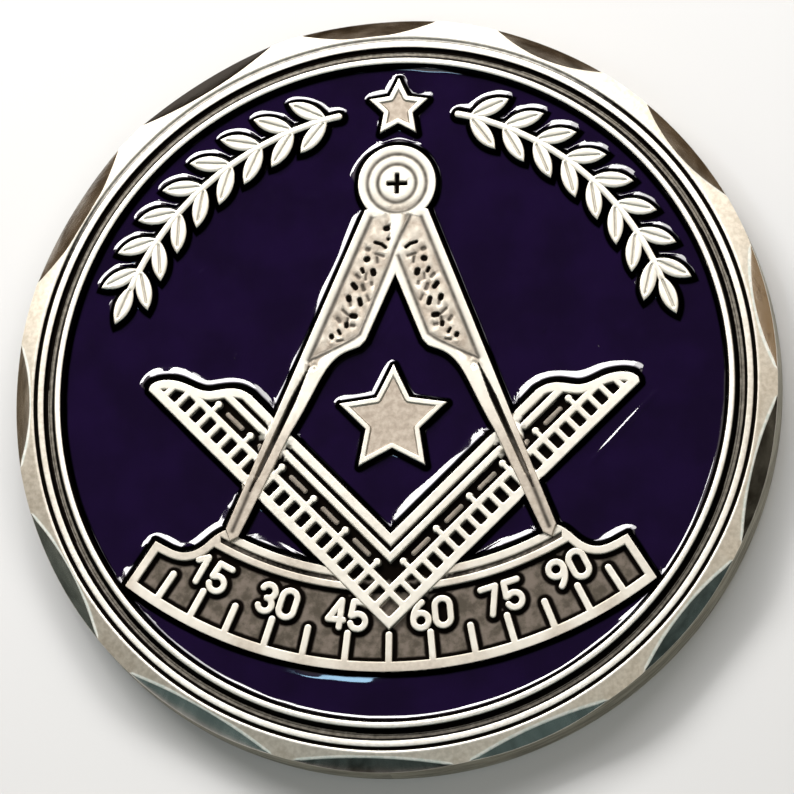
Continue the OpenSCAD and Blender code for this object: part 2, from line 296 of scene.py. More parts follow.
def figure(n, x, y):
    """Distance to one plain figure, in its own box centred on the origin."""
    top, side, w = (FIGURE_H - STROKE) / 2, (FIGURE_W - STROKE) / 2, STROKE
    bar = lambda a, b: capsule(x, y, a, b, w / 2)
    bow = lambda c, r, a0, a1: arc(x, y, c, r, a0, a1, w)
    if n == 0:
        parts = [bow((0, top - side), side, 0, 180), bow((0, side - top), side, 180, 360)]
        parts += [bar((x_side, top - side), (x_side, side - top)) for x_side in (-side, side)]
    elif n == 1:
        parts = [bar((0.15, top), (0.15, -top)), bar((0.15, top), (-0.3, top - 0.4))]
    elif n == 3:
        parts = [bow((0, top / 2), top / 2, -90, 160), bow((0, -top / 2), top / 2, -160, 90)]
    elif n == 4:
        knee = (-side, -0.35)
        parts = [bar((0.25, top), (0.25, -top)), bar((0.25, top), knee), bar(knee, (side, -0.35))]
    elif n == 5:
        shoulder = (-0.35, top)
        parts = [bow((0, side - top), side, -160, 130), bar(shoulder, (-0.42, -0.05))]
        parts.append(bar(shoulder, (side, top)))
    elif n == 7:
        parts = [bar((-side, top), (side, top)), bar((side, top), (-0.15, -top))]
    else:
        parts = [bow((0, side - top), side, 0, 360), bow((top, side - top), top + side, 122, 180)]
    return np.minimum.reduce(parts)


def box_distance(x, y, half_x, half_y, r):
    """Distance to a rectangle about the origin with corners rounded by r."""
    qx, qy = np.abs(x) - half_x + r, np.abs(y) - half_y + r
    return np.hypot(np.maximum(qx, 0), np.maximum(qy, 0)) + np.minimum(np.maximum(qx, qy), 0) - r


# Fields of the design
across = (np.abs(GX) - GY - F32(INNER)) / F32(math.sqrt(2))
along = (np.abs(GX) + GY + F32(INNER)) / F32(math.sqrt(2))


def square_fields():
    """The square's outline, its raised lines, and the low dashes in its wide channel."""
    body = polygon_field(square_outline())
    inset = polygon_field(square_outline(END_BORDER))
    turn = (along - FIRST_RUNG) / PITCH
    u = (turn - np.floor(turn) - 0.5) * PITCH
    mid, half = sum(CELL_SPAN) / 2, (CELL_SPAN[1] - CELL_SPAN[0]) / 2
    cell = box_distance(u, across - mid, (PITCH - RUNG_W) / 2, half, 0.1)
    cx, cy = turned(GX, GY - CORNER_CELL_Y, 45)
    cuts = [strip(across, a, b) for a, b in CHANNELS]
    cuts.append(np.where((turn > 0) & (turn < CELLS), cell, FAR))
    cuts.append(box_distance(cx, cy, CORNER_CELL_W / 2, CORNER_CELL_W / 2, 0.1))
    lines = np.maximum(body, -np.maximum(np.minimum.reduce(cuts), inset))
    dashes = empty_field()
    for i in range(STUBS):
        at = FIRST_RUNG + (3 * i + 2) * PITCH
        dot = np.hypot(along - at, across - STUB_DOT[0]) - STUB_DOT[1]
        place, half_len, half_w = STUB_NECK
        neck = np.hypot(along - at, np.maximum(np.abs(across - place) - half_len, 0)) - half_w
        lines = np.minimum.reduce([lines, dot, neck])
        if i:
            place, half_len, half_w = DASH
            dash = box_distance(along - at + 1.5 * PITCH, across - place, half_len, half_w, 0.12)
            dashes = np.minimum(dashes, dash)
    return body, lines, dashes


def quadrant_fields(square_body):
    """The quadrant's outline, its raised lines with ticks and figures, its pocket and its line gap."""
    rho = np.hypot(GX, GY - F32(QUADRANT_Y))
    cover = polygon_field(quadrant_cover(), 1.2)
    body = np.maximum.reduce([rho - QUADRANT_R, cover, UPPER_LINE[0] - rho])
    pocket = np.maximum(strip(rho, LOWER_LINE[1], BAND_R), cover + CHEEK)
    line_gap = np.maximum(strip(rho, UPPER_LINE[1], LOWER_LINE[0]), np.abs(GX) - GAP_HALF)
    lines = np.maximum(body, -np.minimum(pocket, line_gap))
    for angle in TICKS:
        for side in (-1, 1):
            ends = [quadrant_point(r, side * angle) for r in (TICK_IN + TICK_W / 2, BAND_R + 0.1)]
            stroke(lines, *ends, TICK_W / 2)
    for tens, units, angle in NUMBERS:
        cx, cy = quadrant_point(FIGURE_R, angle)
        reach_x, reach_y = DIGIT_REACH
        for digit, shift in ((tens, -DIGIT_SHIFT), (units, DIGIT_SHIFT)):

            def measure(x, y):
                x, y = turned(x, y - QUADRANT_Y, angle)
                x, y = x - shift, y + FIGURE_R
                return figure(digit, -x, -y) if digit == 9 else figure(digit, x, y)

            stamp(lines, (cx - reach_x, cx + reach_x, cy - reach_y, cy + reach_y), measure)
    lines = np.maximum(lines, -(square_body + 0.02))
    return body, lines, pocket, line_gap


def compasses_fields():
    """Outline of legs and hub, distance to the fine creases, and the lower grooves."""
    leg = polygon_field(leg_outline())
    hub = np.hypot(GX, GY - F32(HUB_Y))
    body = np.minimum.reduce([leg, mirrored(leg), np.minimum(hub - HUB_R, FAR)])
    foot_line = np.array([leg_point(17.2, 0.42), leg_point(20.3, 0.43)])
    right_panel = panel_line([[0.18, 7.95]])
    left_panel = panel_line([[0.42, 7.4], [0.06, 8.4], [-0.3, 9.3], [-0.8, 10.35]])
    crease, groove = empty_field(), empty_field()
    for side, line in ((1, right_panel), (-1, left_panel), (-1, foot_line), (1, foot_line)):
        line = line * [side, 1]
        for a, b in zip(line[:-1], line[1:]):
            if np.hypot(*(b - a)) > 1e-6:
                stroke(crease, a, b, 0)
    crease = np.minimum.reduce([crease] + [np.abs(hub - r) for r in HUB_RINGS])
    for side in (-1, 1):
        for i in range(GROOVE_STEPS):
            t0, t1 = (GROOVE_FROM + GROOVE_LEN * k / GROOVE_STEPS for k in (i, i + 1))
            f = (t0 + t1 - 2 * GROOVE_FROM) / (2 * GROOVE_LEN)
            mid = 0.665 - 0.24 * f
            r = (0.2 - 0.1 * f) * min(1, 3.2 * (f + 0.03), 6 * (1.02 - f))
            a, b = leg_point(t0, mid + 0.005) * [side, 1], leg_point(t1, mid - 0.005) * [side, 1]
            stroke(groove, a, b, max(r, 0.03))
    cross = [box_distance(GX, GY - HUB_Y, w, h, 0.05) for w, h in (HUB_CROSS, HUB_CROSS[::-1])]
    groove = np.minimum.reduce([groove] + cross)
    return body, crease, groove


def panel_marks():
    """Engraved leaf marks on the legs: distances to the deep ones, the faint ones and the small beads. A
    mark is x and y of its two ends, on the left leg, and its radius."""
    deep = (
        (-1.2, 8.8, -0.85, 8.7, 0.09), (-0.85, 8.7, -0.6, 8.5, 0.09), (-1.7, 7.8, -1.64, 7.82, 0.16),
        (-1.3, 7.1, -1.27, 6.95, 0.16), (-1.95, 7.22, -1.88, 7.06, 0.1), (-2.45, 6.32, -2.3, 6.12, 0.14),
        (-2.7, 5.55, -2.68, 5.44, 0.15), (-2.06, 5.42, -1.99, 5.14, 0.13),
        (-2.48, 4.46, -2.3, 4.44, 0.15), (-2.8, 3.97, -2.79, 3.86, 0.12),
        (-3.66, 3.28, -3.64, 3.22, 0.13), (-3.26, 3.6, -3.16, 3.42, 0.08),
    )  # fmt: skip
    faint = (
        (-1.66, 8.4, -1.58, 8.38, 0.14), (-1.15, 8.1, -0.72, 7.97, 0.09),
        (-1.08, 7.92, -1.05, 7.6, 0.08), (-2.26, 6.86, -2.12, 6.7, 0.11), (-1.9, 6.25, -1.82, 6.0, 0.12),
        (-1.37, 6.4, -1.36, 6.3, 0.1), (-2.64, 5.36, -2.58, 5.08, 0.09), (-3.02, 4.8, -2.72, 4.5, 0.09),
        (-2.72, 4.5, -2.5, 4.44, 0.09), (-3.32, 4.3, -3.2, 4.14, 0.12), (-2.72, 4.3, -2.76, 4.1, 0.08),
        (-2.5, 3.88, -2.36, 3.86, 0.11), (-1.62, 5.6, -1.52, 5.36, 0.08), (-1.7, 6.9, -1.72, 6.6, 0.07),
        (-3.3, 2.95, -3.0, 3.0, 0.08),
    )  # fmt: skip
    left_only = ((-0.6, 9.62, -0.5, 9.62, 0.15), (-0.44, 9.0, -0.26, 9.24, 0.1))
    left_faint = ((-0.5, 9.75, -0.22, 9.9, 0.08), (-0.22, 9.9, 0.02, 9.75, 0.06))
    beads = (
        (-3.66, 2.84, -3.64, 2.84, 0.1), (-4.68, 1.78, -4.68, 1.74, 0.1), (-3.22, 3.1, -3.18, 3.1, 0.08),
    )  # fmt: skip
    out = []
    for both, left in ((deep, left_only), (faint, left_faint), (beads, ())):
        field = empty_field()
        for side, strokes in ((1, both + left), (-1, both)):
            for x0, y0, x1, y1, r in strokes:
                stroke(field, *np.array([[side * x0, y0], [side * x1, y1]]), r)
        out.append(field)
    return out


def ornament_fields():
    """Sprays and the two stars: the outline, the middle veins of the leaves, and the stars' faces."""
    body, vein = empty_field(), empty_field()
    step = (SPRAY_TO - SPRAY_FROM) / LEAF_PAIRS
    places = [
        (SPRAY_FROM + step * (i + 0.35), side * LEAF_TURN) for i in range(LEAF_PAIRS) for side in (-1, 1)
    ]
    places.append((SPRAY_TO - 1, 0))
    r = (LEAF_LEN**2 + LEAF_W**2) / (4 * LEAF_W)
    for angle, turn in places:
        base = SPRAY_R * bearing(angle)

        def local(x, y):
            x, y = turned(x, y, -angle)
            return turned(x, y - SPRAY_R, turn)

        def leaf(x, y):
            x, y = local(x, y)
            x = x - LEAF_LEN / 2
            return np.maximum(np.hypot(x, y - r + LEAF_W / 2), np.hypot(x, y + r - LEAF_W / 2)) - r

        def rib(x, y):
            x, y = local(x, y)
            return capsule(x, y, (0.35, 0), (LEAF_LEN - 0.45, 0), 0)

        box = (base[0] - LEAF_LEN, base[0] + LEAF_LEN, base[1] - LEAF_LEN, base[1] + LEAF_LEN)
        stamp(body, box, leaf)
        stamp(vein, box, rib)
    stem = lambda x, y: arc(x, y, (0, 0), SPRAY_R, 90 - SPRAY_TO, 90 - SPRAY_FROM, STEM_W)
    stamp(body, (3, 17, 6, 17), stem)
    body = np.minimum(body, mirrored(body))
    vein = np.minimum(vein, mirrored(vein))
    stars = np.minimum(polygon_field(star(STAR_R, STAR_Y)), polygon_field(star(TOP_STAR_R, TOP_STAR_Y)))
    return body, vein, stars


fields = dict(zip(("square", "square_lines", "dashes"), square_fields()))
quadrant_names = ("quadrant", "quadrant_lines", "pocket", "line_gap")
fields.update(zip(quadrant_names, quadrant_fields(fields["square"])))
fields.update(zip(("compasses", "crease", "groove"), compasses_fields()))
fields.update(zip(("marks", "faint", "beads"), panel_marks()))
fields.update(zip(("sprays", "vein", "stars"), ornament_fields()))
fields = {name: field.astype(F32) for name, field in fields.items()}


def sample(field, x, y, cell=CELL):
    """The field's value at points, between its grid points."""
    fx, fy = (x + HALF) / cell, (y + HALF) / cell
    j = np.clip(fx.astype(int), 0, field.shape[1] - 2)
    i = np.clip(fy.astype(int), 0, field.shape[0] - 2)
    u, v = fx - j, fy - i
    low = field[i, j] * (1 - u) + field[i, j + 1] * u
    high = field[i + 1, j] * (1 - u) + field[i + 1, j + 1] * u
    return low * (1 - v) + high * v


rng = np.random.default_rng(7)
LATTICE = rng.random((257, 257))


def noise(x, y, size, shift=0.0):
    """Smooth value noise from -1 to 1, with lumps about size across."""
    fx, fy = (x + HALF) / size + shift, (y + HALF) / size + 1.7 * shift
    i, j = np.floor(fy).astype(int), np.floor(fx).astype(int)
    u, v = fx - j, fy - i
    u, v = u * u * (3 - 2 * u), v * v * (3 - 2 * v)
    i, j = i % 256, j % 256
    low = LATTICE[i, j] * (1 - u) + LATTICE[i, j + 1] * u
    high = LATTICE[i + 1, j] * (1 - u) + LATTICE[i + 1, j + 1] * u
    return 2 * (low * (1 - v) + high * v) - 1


# Height of the relief
WALL = 8.0  # how steeply a struck wall falls
GAP_Z = -0.33  # floor between the two upper lines of the quadrant


def raised(d, top, edge=0.08, drop=0.04):
    """Height over a raised shape at signed distance d: flat, a rounded edge, then a steep wall."""
    t = np.clip(-d / edge, 0, 1)
    bend = drop * (1 - np.sqrt(np.clip(1 - (1 - t) ** 2, 0, 1)))
    return top - bend - WALL * np.maximum(d, 0)


def fallen(top, height, a=0.1, b=0.22):
    """How dark the wall of a raised shape is: from 0 at a below its top, to 1 at b."""
    return smoothstep(a, b, top - height)


def relief(x, y):
    """Height and surface at points: z, and how dark (patina), how matte and how grey the metal is there.
    On the compasses' lower part the matte share is painted shade.
    """
    at = {k: sample(f, x, y) for k, f in fields.items()}
    comp, crease, groove, marks = at["compasses"], at["crease"], at["groove"], at["marks"]
    z = np.full(len(x), FLOOR)
    dark, matte, grey = np.ones(len(x)), np.zeros(len(x)), np.zeros(len(x))

    def put(height, d, m, g):
        nonlocal z, dark, matte, grey
        over = height > z
        z = np.where(over, height, z)
        dark, matte, grey = np.where(over, d, dark), np.where(over, m, matte), np.where(over, g, grey)

    plate = lambda d, top: top - WALL * np.maximum(d + 0.25, 0)
    zero = np.zeros(len(x))
    into_pocket = smoothstep(0.18, 0.4, at["quadrant_lines"]) * (at["pocket"] < 0.02)
    put(plate(at["quadrant"], CHANNEL), 1 - into_pocket, zero + 1, zero + 1)
    dullness = smoothstep(-0.6, 0.6, noise(x, y, 1.5, 6.4))
    put(GAP_Z - WALL * np.maximum(at["line_gap"], 0), 0.42 + 0.3 * dullness, zero + 0.5, zero + 0.9)
    height = raised(at["quadrant_lines"], QUADRANT_TOP)
    satin = (0.2 + 0.5 * dullness) * smoothstep(-0.3, 0.1, at["pocket"])
    put(height, fallen(QUADRANT_TOP, height, 0.08, 0.2), satin, zero)
    put(plate(at["square"], CHANNEL), zero + 1, zero, zero)
    height = raised(at["dashes"], DASH_TOP)
    put(height, fallen(DASH_TOP, height, 0.05, 0.13), zero + 0.8, zero + 0.7)
    height = raised(at["square_lines"], SQUARE_TOP)
    put(height, fallen(SQUARE_TOP, height, 0.08, 0.2), zero, zero)
    # compasses: fine creases, engraved marks in the panels, and the long grooves down the legs
    fine = bell(crease, 0.15)
    in_panel = smoothstep(0.0, 0.14, crease) * smoothstep(-0.5, -0.6, comp)
    in_panel = in_panel * smoothstep(12.0, 10.4, y) * (y > 1.4)
    pits = smoothstep(0.06, -0.06, marks) * in_panel
    faint = smoothstep(0.09, -0.09, at["faint"]) * in_panel
    beads = smoothstep(0.09, -0.09, at["beads"]) * in_panel
    deep = smoothstep(0.05, -0.07, groove)
    height = raised(comp, COMPASS_TOP)
    z = np.where(comp < 0, FLOOR, z)
    lumps = noise(x, y, 0.36) * 0.6 + noise(x, y, 0.17, 3.3) * 0.4
    inside = -0.014 * fine - 0.12 * pits - 0.04 * faint + 0.03 * beads - 0.3 * deep
    inside -= in_panel * (0.02 - 0.018 * lumps)
    groove_tone = 0.62 + 0.38 * smoothstep(-5, 0.5, y)
    edge = fallen(COMPASS_TOP, height)
    tone = np.maximum.reduce([0.52 * fine, pits, 0.5 * faint, groove_tone * deep, edge])
    brown = np.maximum(0.85 * fine, faint)
    # painted shade: on the compasses the metal is more matte and darker towards the bottom; in the panels
    # it is mottled, as the ground itself is
    dullness = np.maximum(in_panel * np.clip(0.85 - 0.5 * lumps, 0, 1), 0.85 * smoothstep(0.5, -4, y))
    put(height + inside * (comp < 0), np.clip(tone, 0, 1), dullness, brown)
    # sprays and stars
    height = raised(at["sprays"], COMPASS_TOP, 0.18, 0.07)
    rib = bell(at["vein"], 0.07) * (at["sprays"] < -0.1)
    put(height - 0.07 * rib, np.maximum(fallen(COMPASS_TOP, height), 0.45 * rib), zero, zero)
    face = smoothstep(-STAR_BORDER + 0.04, -STAR_BORDER - 0.05, at["stars"])
    height = raised(at["stars"], COMPASS_TOP)
    line = bell(at["stars"] + STAR_BORDER, 0.05)
    put(height - 0.09 * face, np.maximum(fallen(COMPASS_TOP, height), 0.3 * line), face, zero)
    return z, np.stack([dark, matte, grey], 1)


# Contours
def contours(field, level):
    """Lines of points along which the field has that level. A closed line repeats its first point."""
    above = field > level
    hi, hj = np.nonzero(above[:, :-1] != above[:, 1:])
    vi, vj = np.nonzero(above[:-1] != above[1:])
    if not len(hi) and not len(vi):
        return []
    a, b = field[hi, hj], field[hi, hj + 1]
    hx = AXIS[hj] + CELL * (level - a) / (b - a)
    a, b = field[vi, vj], field[vi + 1, vj]
    vy = AXIS[vi] + CELL * (level - a) / (b - a)
    points = np.concatenate([np.stack([hx, AXIS[hi]], 1), np.stack([AXIS[vj], vy], 1)])
    h_id = np.full((COUNT, COUNT), -1, np.int32)
    v_id = np.full((COUNT, COUNT), -1, np.int32)
    h_id[hi, hj] = np.arange(len(hi))
    v_id[vi, vj] = len(hi) + np.arange(len(vi))
    sides = np.stack([h_id[:-1, :-1], v_id[:-1, :-1], h_id[1:, :-1], v_id[:-1, 1:]], 2).reshape(-1, 4)
    sides = sides[(sides >= 0).any(1)]
    hit = (sides >= 0).sum(1)
    two = np.sort(sides[hit == 2], 1)[:, 2:]
    four = sides[hit == 4]
    links = np.concatenate([two, four[:, :2], four[:, 2:]])
    near = np.full((len(points), 2), -1, np.int64)
    for a, b in ((0, 1), (1, 0)):
        order = np.argsort(links[:, a], kind="stable")
        ids, other = links[order, a], links[order, b]
        first = np.r_[True, ids[1:] != ids[:-1]]
        for pick in (first, ~first):
            free = near[ids[pick], 0] >= 0
            near[ids[pick], free.astype(int)] = other[pick]
    n0, n1 = near[:, 0].tolist(), near[:, 1].tolist()
    seen = bytearray(len(points))
    starts = [i for i in range(len(points)) if n1[i] < 0] + list(range(len(points)))
    out = []
    for start in starts:
        if seen[start]:
            continue
        chain, here, before = [start], start, -1
        seen[start] = 1
        while True:
            step = n0[here] if n0[here] != before and n0[here] >= 0 and not seen[n0[here]] else n1[here]
            if step < 0 or seen[step]:
                break
            before, here = here, step
            seen[here] = 1
            chain.append(here)
        if len(chain) > 3:
            if n1[start] >= 0:
                chain.append(start)
            out.append(points[chain])
    return out


def simplified(line, tolerance, longest):
    """Fewer points along a line, none further off than tolerance, with no step over longest."""
    keep = np.zeros(len(line), bool)
    keep[[0, -1]] = True
    stack = [(0, len(line) - 1)]
    if np.allclose(line[0], line[-1]):
        middle = int(np.argmax(np.hypot(*(line - line[0]).T)))
        keep[middle] = True
        stack = [(0, middle), (middle, len(line) - 1)]
    while stack:
        i, j = stack.pop()
        if j - i < 2:
            continue
        a, b = line[i], line[j]
        step = b - a
        size = math.hypot(*step)
        rest = line[i + 1 : j] - a
        off = np.hypot(*rest.T)
        if size > 1e-9:
            off = np.abs(rest[:, 0] * step[1] - rest[:, 1] * step[0]) / size
        k = int(np.argmax(off))
        if off[k] > tolerance:
            keep[i + 1 + k] = True
            stack += [(i, i + 1 + k), (i + 1 + k, j)]
    out = [line[0]]
    for a, b in zip(line[keep][:-1], line[keep][1:]):
        n = max(1, math.ceil(math.hypot(*(b - a)) / longest))
        out += [a + (b - a) * k / n for k in range(1, n + 1)]
    return np.array(out)


class Plan:
    """Points and the edges between them that a flat triangulation keeps."""

    def __init__(self):
        self.points, self.edges, self.count = [], [], 0

    def line(self, points, wanted=None):
        n = len(points)
        self.points.append(points)
        steps = np.stack([np.arange(n - 1), np.arange(1, n)], 1)
        if wanted is not None:
            steps = steps[wanted[:-1] & wanted[1:]]
        self.edges.append(steps + self.count)
        self.count += n

    def loose(self, points):
        self.points.append(points)
        self.count += len(points)

    def triangles(self):
        points = np.concatenate(self.points)
        edges = np.concatenate(self.edges)
        out = delaunay_2d_cdt([Vector(p) for p in points], edges.tolist(), [], 0, 1e-4, True)
        return np.array([v[:] for v in out[0]]), np.array(out[2], np.int64), out[3]


LAYERS = (  # field, top, levels
    ("square_lines", SQUARE_TOP, (-0.08, -0.05, -0.025, -0.006, 0.0115, 0.058)),
    ("quadrant_lines", QUADRANT_TOP, (-0.08, -0.05, -0.025, -0.006, 0.015, 0.05)),
    ("dashes", DASH_TOP, (-0.08, -0.04, -0.01, 0.028)),
    ("compasses", COMPASS_TOP, (-0.08, -0.05, -0.025, -0.006, 0.0125, 0.0225, 0.067, 0.11)),
    ("sprays", COMPASS_TOP, (-0.18, -0.13, -0.08, -0.04, -0.01, 0.015, 0.03, 0.1)),
    ("stars", COMPASS_TOP, (-0.38, -0.33, -0.29, -0.24, -0.08, -0.05, -0.025, -0.006, 0.015, 0.03, 0.1)),
)
INNER_LINES = (  # fields inside the compasses and the sprays
    ("crease", "compasses", (0.03, 0.08, 0.13, 0.2)),
    ("groove", "compasses", (-0.07, -0.03, 0.01, 0.05)),
    ("marks", "compasses", (-0.06, -0.02, 0.02, 0.06)),
    ("faint", "compasses", (-0.05, 0.0, 0.06)),
    ("beads", "compasses", (-0.05, 0.0, 0.07)),
    ("vein", "sprays", (0.03, 0.07, 0.13)),
)
POCKET_LEVELS = (0.18, 0.29, 0.4)
TOLERANCE = 0.0025


def lines_at(field, levels, tolerance, longest):
    for level in levels:
        for line in contours(field, level):
            yield level, simplified(line, tolerance, longest)


def lattice(half, step, jitter=0.0):
    """Points on a square grid that reaches half to every side, moved by up to jitter at random."""
    side = np.arange(-half, half, step)
    grid = np.stack(np.meshgrid(side, side), 2).reshape(-1, 2)
    return grid + rng.uniform(-jitter, jitter, grid.shape) if jitter else grid


def facing(points, faces, up=1):
    """The triangles, each turned to face up, or down where up is -1."""
    a, b, c = (points[faces[:, k]] for k in range(3))
    return np.where((up * np.cross(b - a, c - a) > 0)[:, None], faces, faces[:, ::-1])


def relief_plan(ring):
    plan = Plan()
    plan.line(np.vstack([ring, ring[:1]]))
    for name, top, levels in LAYERS:
        for level, line in lines_at(fields[name], levels, TOLERANCE, 0.6):
            shows = relief(*line.T)[0] < max(top - WALL * max(level, 0), CHANNEL) + 0.02
            if shows.any():
                plan.line(line, shows & (np.hypot(*line.T) < FIELD_R - 0.02))
    for name, inside, levels in INNER_LINES:
        for _, line in lines_at(fields[name], levels, TOLERANCE, 0.5):
            shows = sample(fields[inside], *line.T) < -0.05
            if shows.any():
                plan.line(line, shows)
    for _, line in lines_at(fields["quadrant_lines"], POCKET_LEVELS, 0.006, 0.5):
        plan.line(line, sample(fields["pocket"], *line.T) < 0)
    grid = lattice(19, 0.3, 0.08)
    plan.loose(grid[relief(*grid.T)[0] > CHANNEL - 0.1])
    return plan


def slopes(height, x, y, step=0.006):
    """Unit normals of a height function at points."""
    dx = (height(x + step, y) - height(x - step, y)) / (2 * step)
    dy = (height(x, y + step) - height(x, y - step)) / (2 * step)
    n = np.stack([-dx, -dy, np.ones(len(x))], 1)
    return n / np.linalg.norm(n, axis=1)[:, None]


# The rim, side and back
COLUMNS = 600
RIM_PROFILE = (  # radius, height, and how dark the metal is there, from the field to the lip
    (19.455, -0.5, 1.0), (19.46, -0.2, 1.0), (19.472, -0.1, 0.7), (19.495, -0.04, 0.2),
    (19.53, -0.012, 0.0), (19.6, -0.002, 0.0), (19.7, -0.002, 0.0), (19.78, -0.014, 0.05),
    (19.82, -0.05, 0.5), (19.86, -0.13, 0.9), (19.93, -0.29, 1.0), (19.985, -0.43, 1.0),
    (20.02, -0.457, 0.7), (20.05, -0.46, 0.62), (20.08, -0.46, 0.6), (20.12, -0.46, 0.56),
    (20.15, -0.462, 0.6), (20.18, -0.465, 0.76), (20.21, -0.462, 0.6), (20.25, -0.46, 0.58),
    (20.29, -0.46, 0.6), (20.33, -0.46, 0.62), (20.37, -0.455, 0.75), (20.41, -0.43, 1.0),
    (20.45, -0.36, 1.0), (20.49, -0.3, 1.0), (20.52, -0.285, 0.7), (20.56, -0.276, 0.15),
    (20.6, -0.273, 0.0), (20.7, -0.272, 0.0), (20.8, -0.272, 0.0), (20.84, -0.28, 0.2),
    (20.89, -0.32, 0.8), (20.95, -0.38, 1.0), (21.01, -0.4, 1.0), (21.06, -0.37, 1.0),
    (21.09, -0.31, 0.8), (21.115, -0.28, 0.25), (21.135, -0.271, 0.0),
)  # fmt: skip
GROOVE_FLOOR = (20.0, 20.4)
LIP_IN = (21.15, -0.27)
BAND_FALL = (GIRDLE_Z - LIP_Z) / (COIN_R - LIP_OUT)
SIDE_FOOT = (COIN_R, -2.2)
BACK_PROFILE = (
    SIDE_FOOT, (COIN_R, -2.95), (22.21, -3.02), (21.68, -3.47), (21.6, -3.497), (21.45, -3.5),
    (20.7, -3.5), (20.66, -3.47), (20.6, -3.26), (20.5, -3.225), (20.15, -3.225), (20.05, -3.26),
    (19.99, -3.47), (19.95, -3.5), (19.0, -3.5),
)  # fmt: skip


def round_corner(a, corner, b, cut, n):
    """Points of a soft curve through a corner between a and b, cut off at most cut away from it."""
    a, corner, b = np.array(a), np.array(corner), np.array(b)
    la, lb = np.hypot(*(a - corner)), np.hypot(*(b - corner))
    p = corner + (a - corner) / max(la, 1e-9) * min(cut, 0.45 * la)
    q = corner + (b - corner) / max(lb, 1e-9) * min(cut, 0.45 * lb)
    t = np.linspace(0, 1, n)[:, None]
    return (1 - t) ** 2 * p + 2 * t * (1 - t) * corner + t * t * q


def top_z(r):
    """Height of the uncut rim, flat on the lip and falling from there to the side."""
    return LIP_Z + BAND_FALL * max(0, r - LIP_OUT)


def cut_plane(facet):
    """Height of a facet's inner edge, and how steeply it falls from there."""
    _, inner, half, _ = facet
    z = top_z(inner)
    return z, (z - GIRDLE_Z) / (COIN_R * math.cos(math.radians(half)) - inner)


def rim_column(theta):
    """Down one radial line, theta in degrees clockwise from the top: radius and height, then how dark the
    metal is (patina, with painted shadow and lightening), the zone (cut, rim, lip, where lip is a painted
    highlight) and the painted light and tones (each facet's painted light, band, side) of each row."""
    edge_r, side_z, pale = COIN_R, GIRDLE_Z, 0.5
    for facet in FACETS:
        middle, inner = facet[:2]
        turn = math.radians((theta - middle + 180) % 360 - 180)
        if abs(turn) > 0.4:
            continue
        z, fall = cut_plane(facet)
        c = math.cos(turn)
        # where the cut plane meets the lip, or else the band
        r = (inner + (z - LIP_Z) / fall) / c
        if r > LIP_OUT:
            r = (z + fall * inner - LIP_Z + BAND_FALL * LIP_OUT) / (fall * c + BAND_FALL)
        if r < COIN_R:
            # a facet's painted light stands in for the light that its cut catches
            edge_r, side_z, pale = r, z - fall * (COIN_R * c - inner), facet[3]
    edge, low = (edge_r, top_z(edge_r)), (COIN_R, side_z)
    break_r = max(min(LIP_OUT, edge_r - 0.02), LIP_IN[0] + 0.005)
    cut = smoothstep(0.0, 0.06, COIN_R - edge_r)
    # painted light and shade: the groove's floor is painted black where shadow falls under its outer wall
    # at the top left, and under its inner wall opposite; towards the top the line outside the bead is
    # painted lighter, and the facets' edges are unbroken and carry no painted highlight; at both sides the
    # bead and lip are painted darker, as shade
    shade = 0.5 + 0.5 * math.cos(math.radians(theta - 326))
    lit = GROOVE_FLOOR[0] + 0.09 * (1 - shade), GROOVE_FLOOR[1] - 0.19 * shade
    top = smoothstep(0.45, 0.85, math.cos(math.radians(theta - 345)))
    edge_broken_and_highlit = cut * (1 - smoothstep(0.2, 0.6, math.cos(math.radians(theta - 350))))
    side_shade = max(bell(theta - 93, 20), bell(theta - 265, 24))
    rows = []
    for r, z, dark in RIM_PROFILE:
        on_floor = GROOVE_FLOOR[0] < r < GROOVE_FLOOR[1]
        if on_floor and not lit[0] < r < lit[1]:
            dark = 1
        elif r > 20.85:
            dark *= 1 - 0.5 * top
        band = 1 if on_floor else 0.75 * side_shade * (r > 20.5)
        rows.append((r, z, dark, 0, 1, 0, band, 0))
    corner = round_corner(LIP_IN, (break_r, LIP_Z), edge, 0.04, 4)
    rows += [(*p, 0, 0, rim, 0, 1 - rim * (1 - side_shade), 0) for p, rim in zip(corner, (0.9, 0.7, 0.4, 0.1))]
    corner = round_corner((break_r, LIP_Z), edge, low, 0.03 + 0.1 * edge_broken_and_highlit, 6)
    shares = zip(corner, (0, 0, 0.05, 0.3, 0.9, 1), (0.1, 0.7, 1, 1, 0.7, 0))
    # the lip share is a painted highlight along the facet's broken edge
    rows += [(*p, 0, cut * t, 0, edge_broken_and_highlit * lip, 1 - t, 0) for p, t, lip in shares]
    corner = round_corner(edge, low, SIDE_FOOT, 0.05, 4)
    rows += [(*p, 0, cut * (1 - t), 0, 0, 0, t) for p, t in zip(corner, (0, 0.2, 0.8, 1))]
    sides = [1, 1, 0.6] + [0] * (len(BACK_PROFILE) - 3)
    rows += [(*p, 0, 0, 0, 0, 0, side) for p, side in zip(BACK_PROFILE, sides)]
    r, z, dark, cut, rim, lip, band, side = np.array(rows, float).T
    return np.column_stack([r, z, dark, cut, rim, lip, np.full(len(rows), pale), band, side])


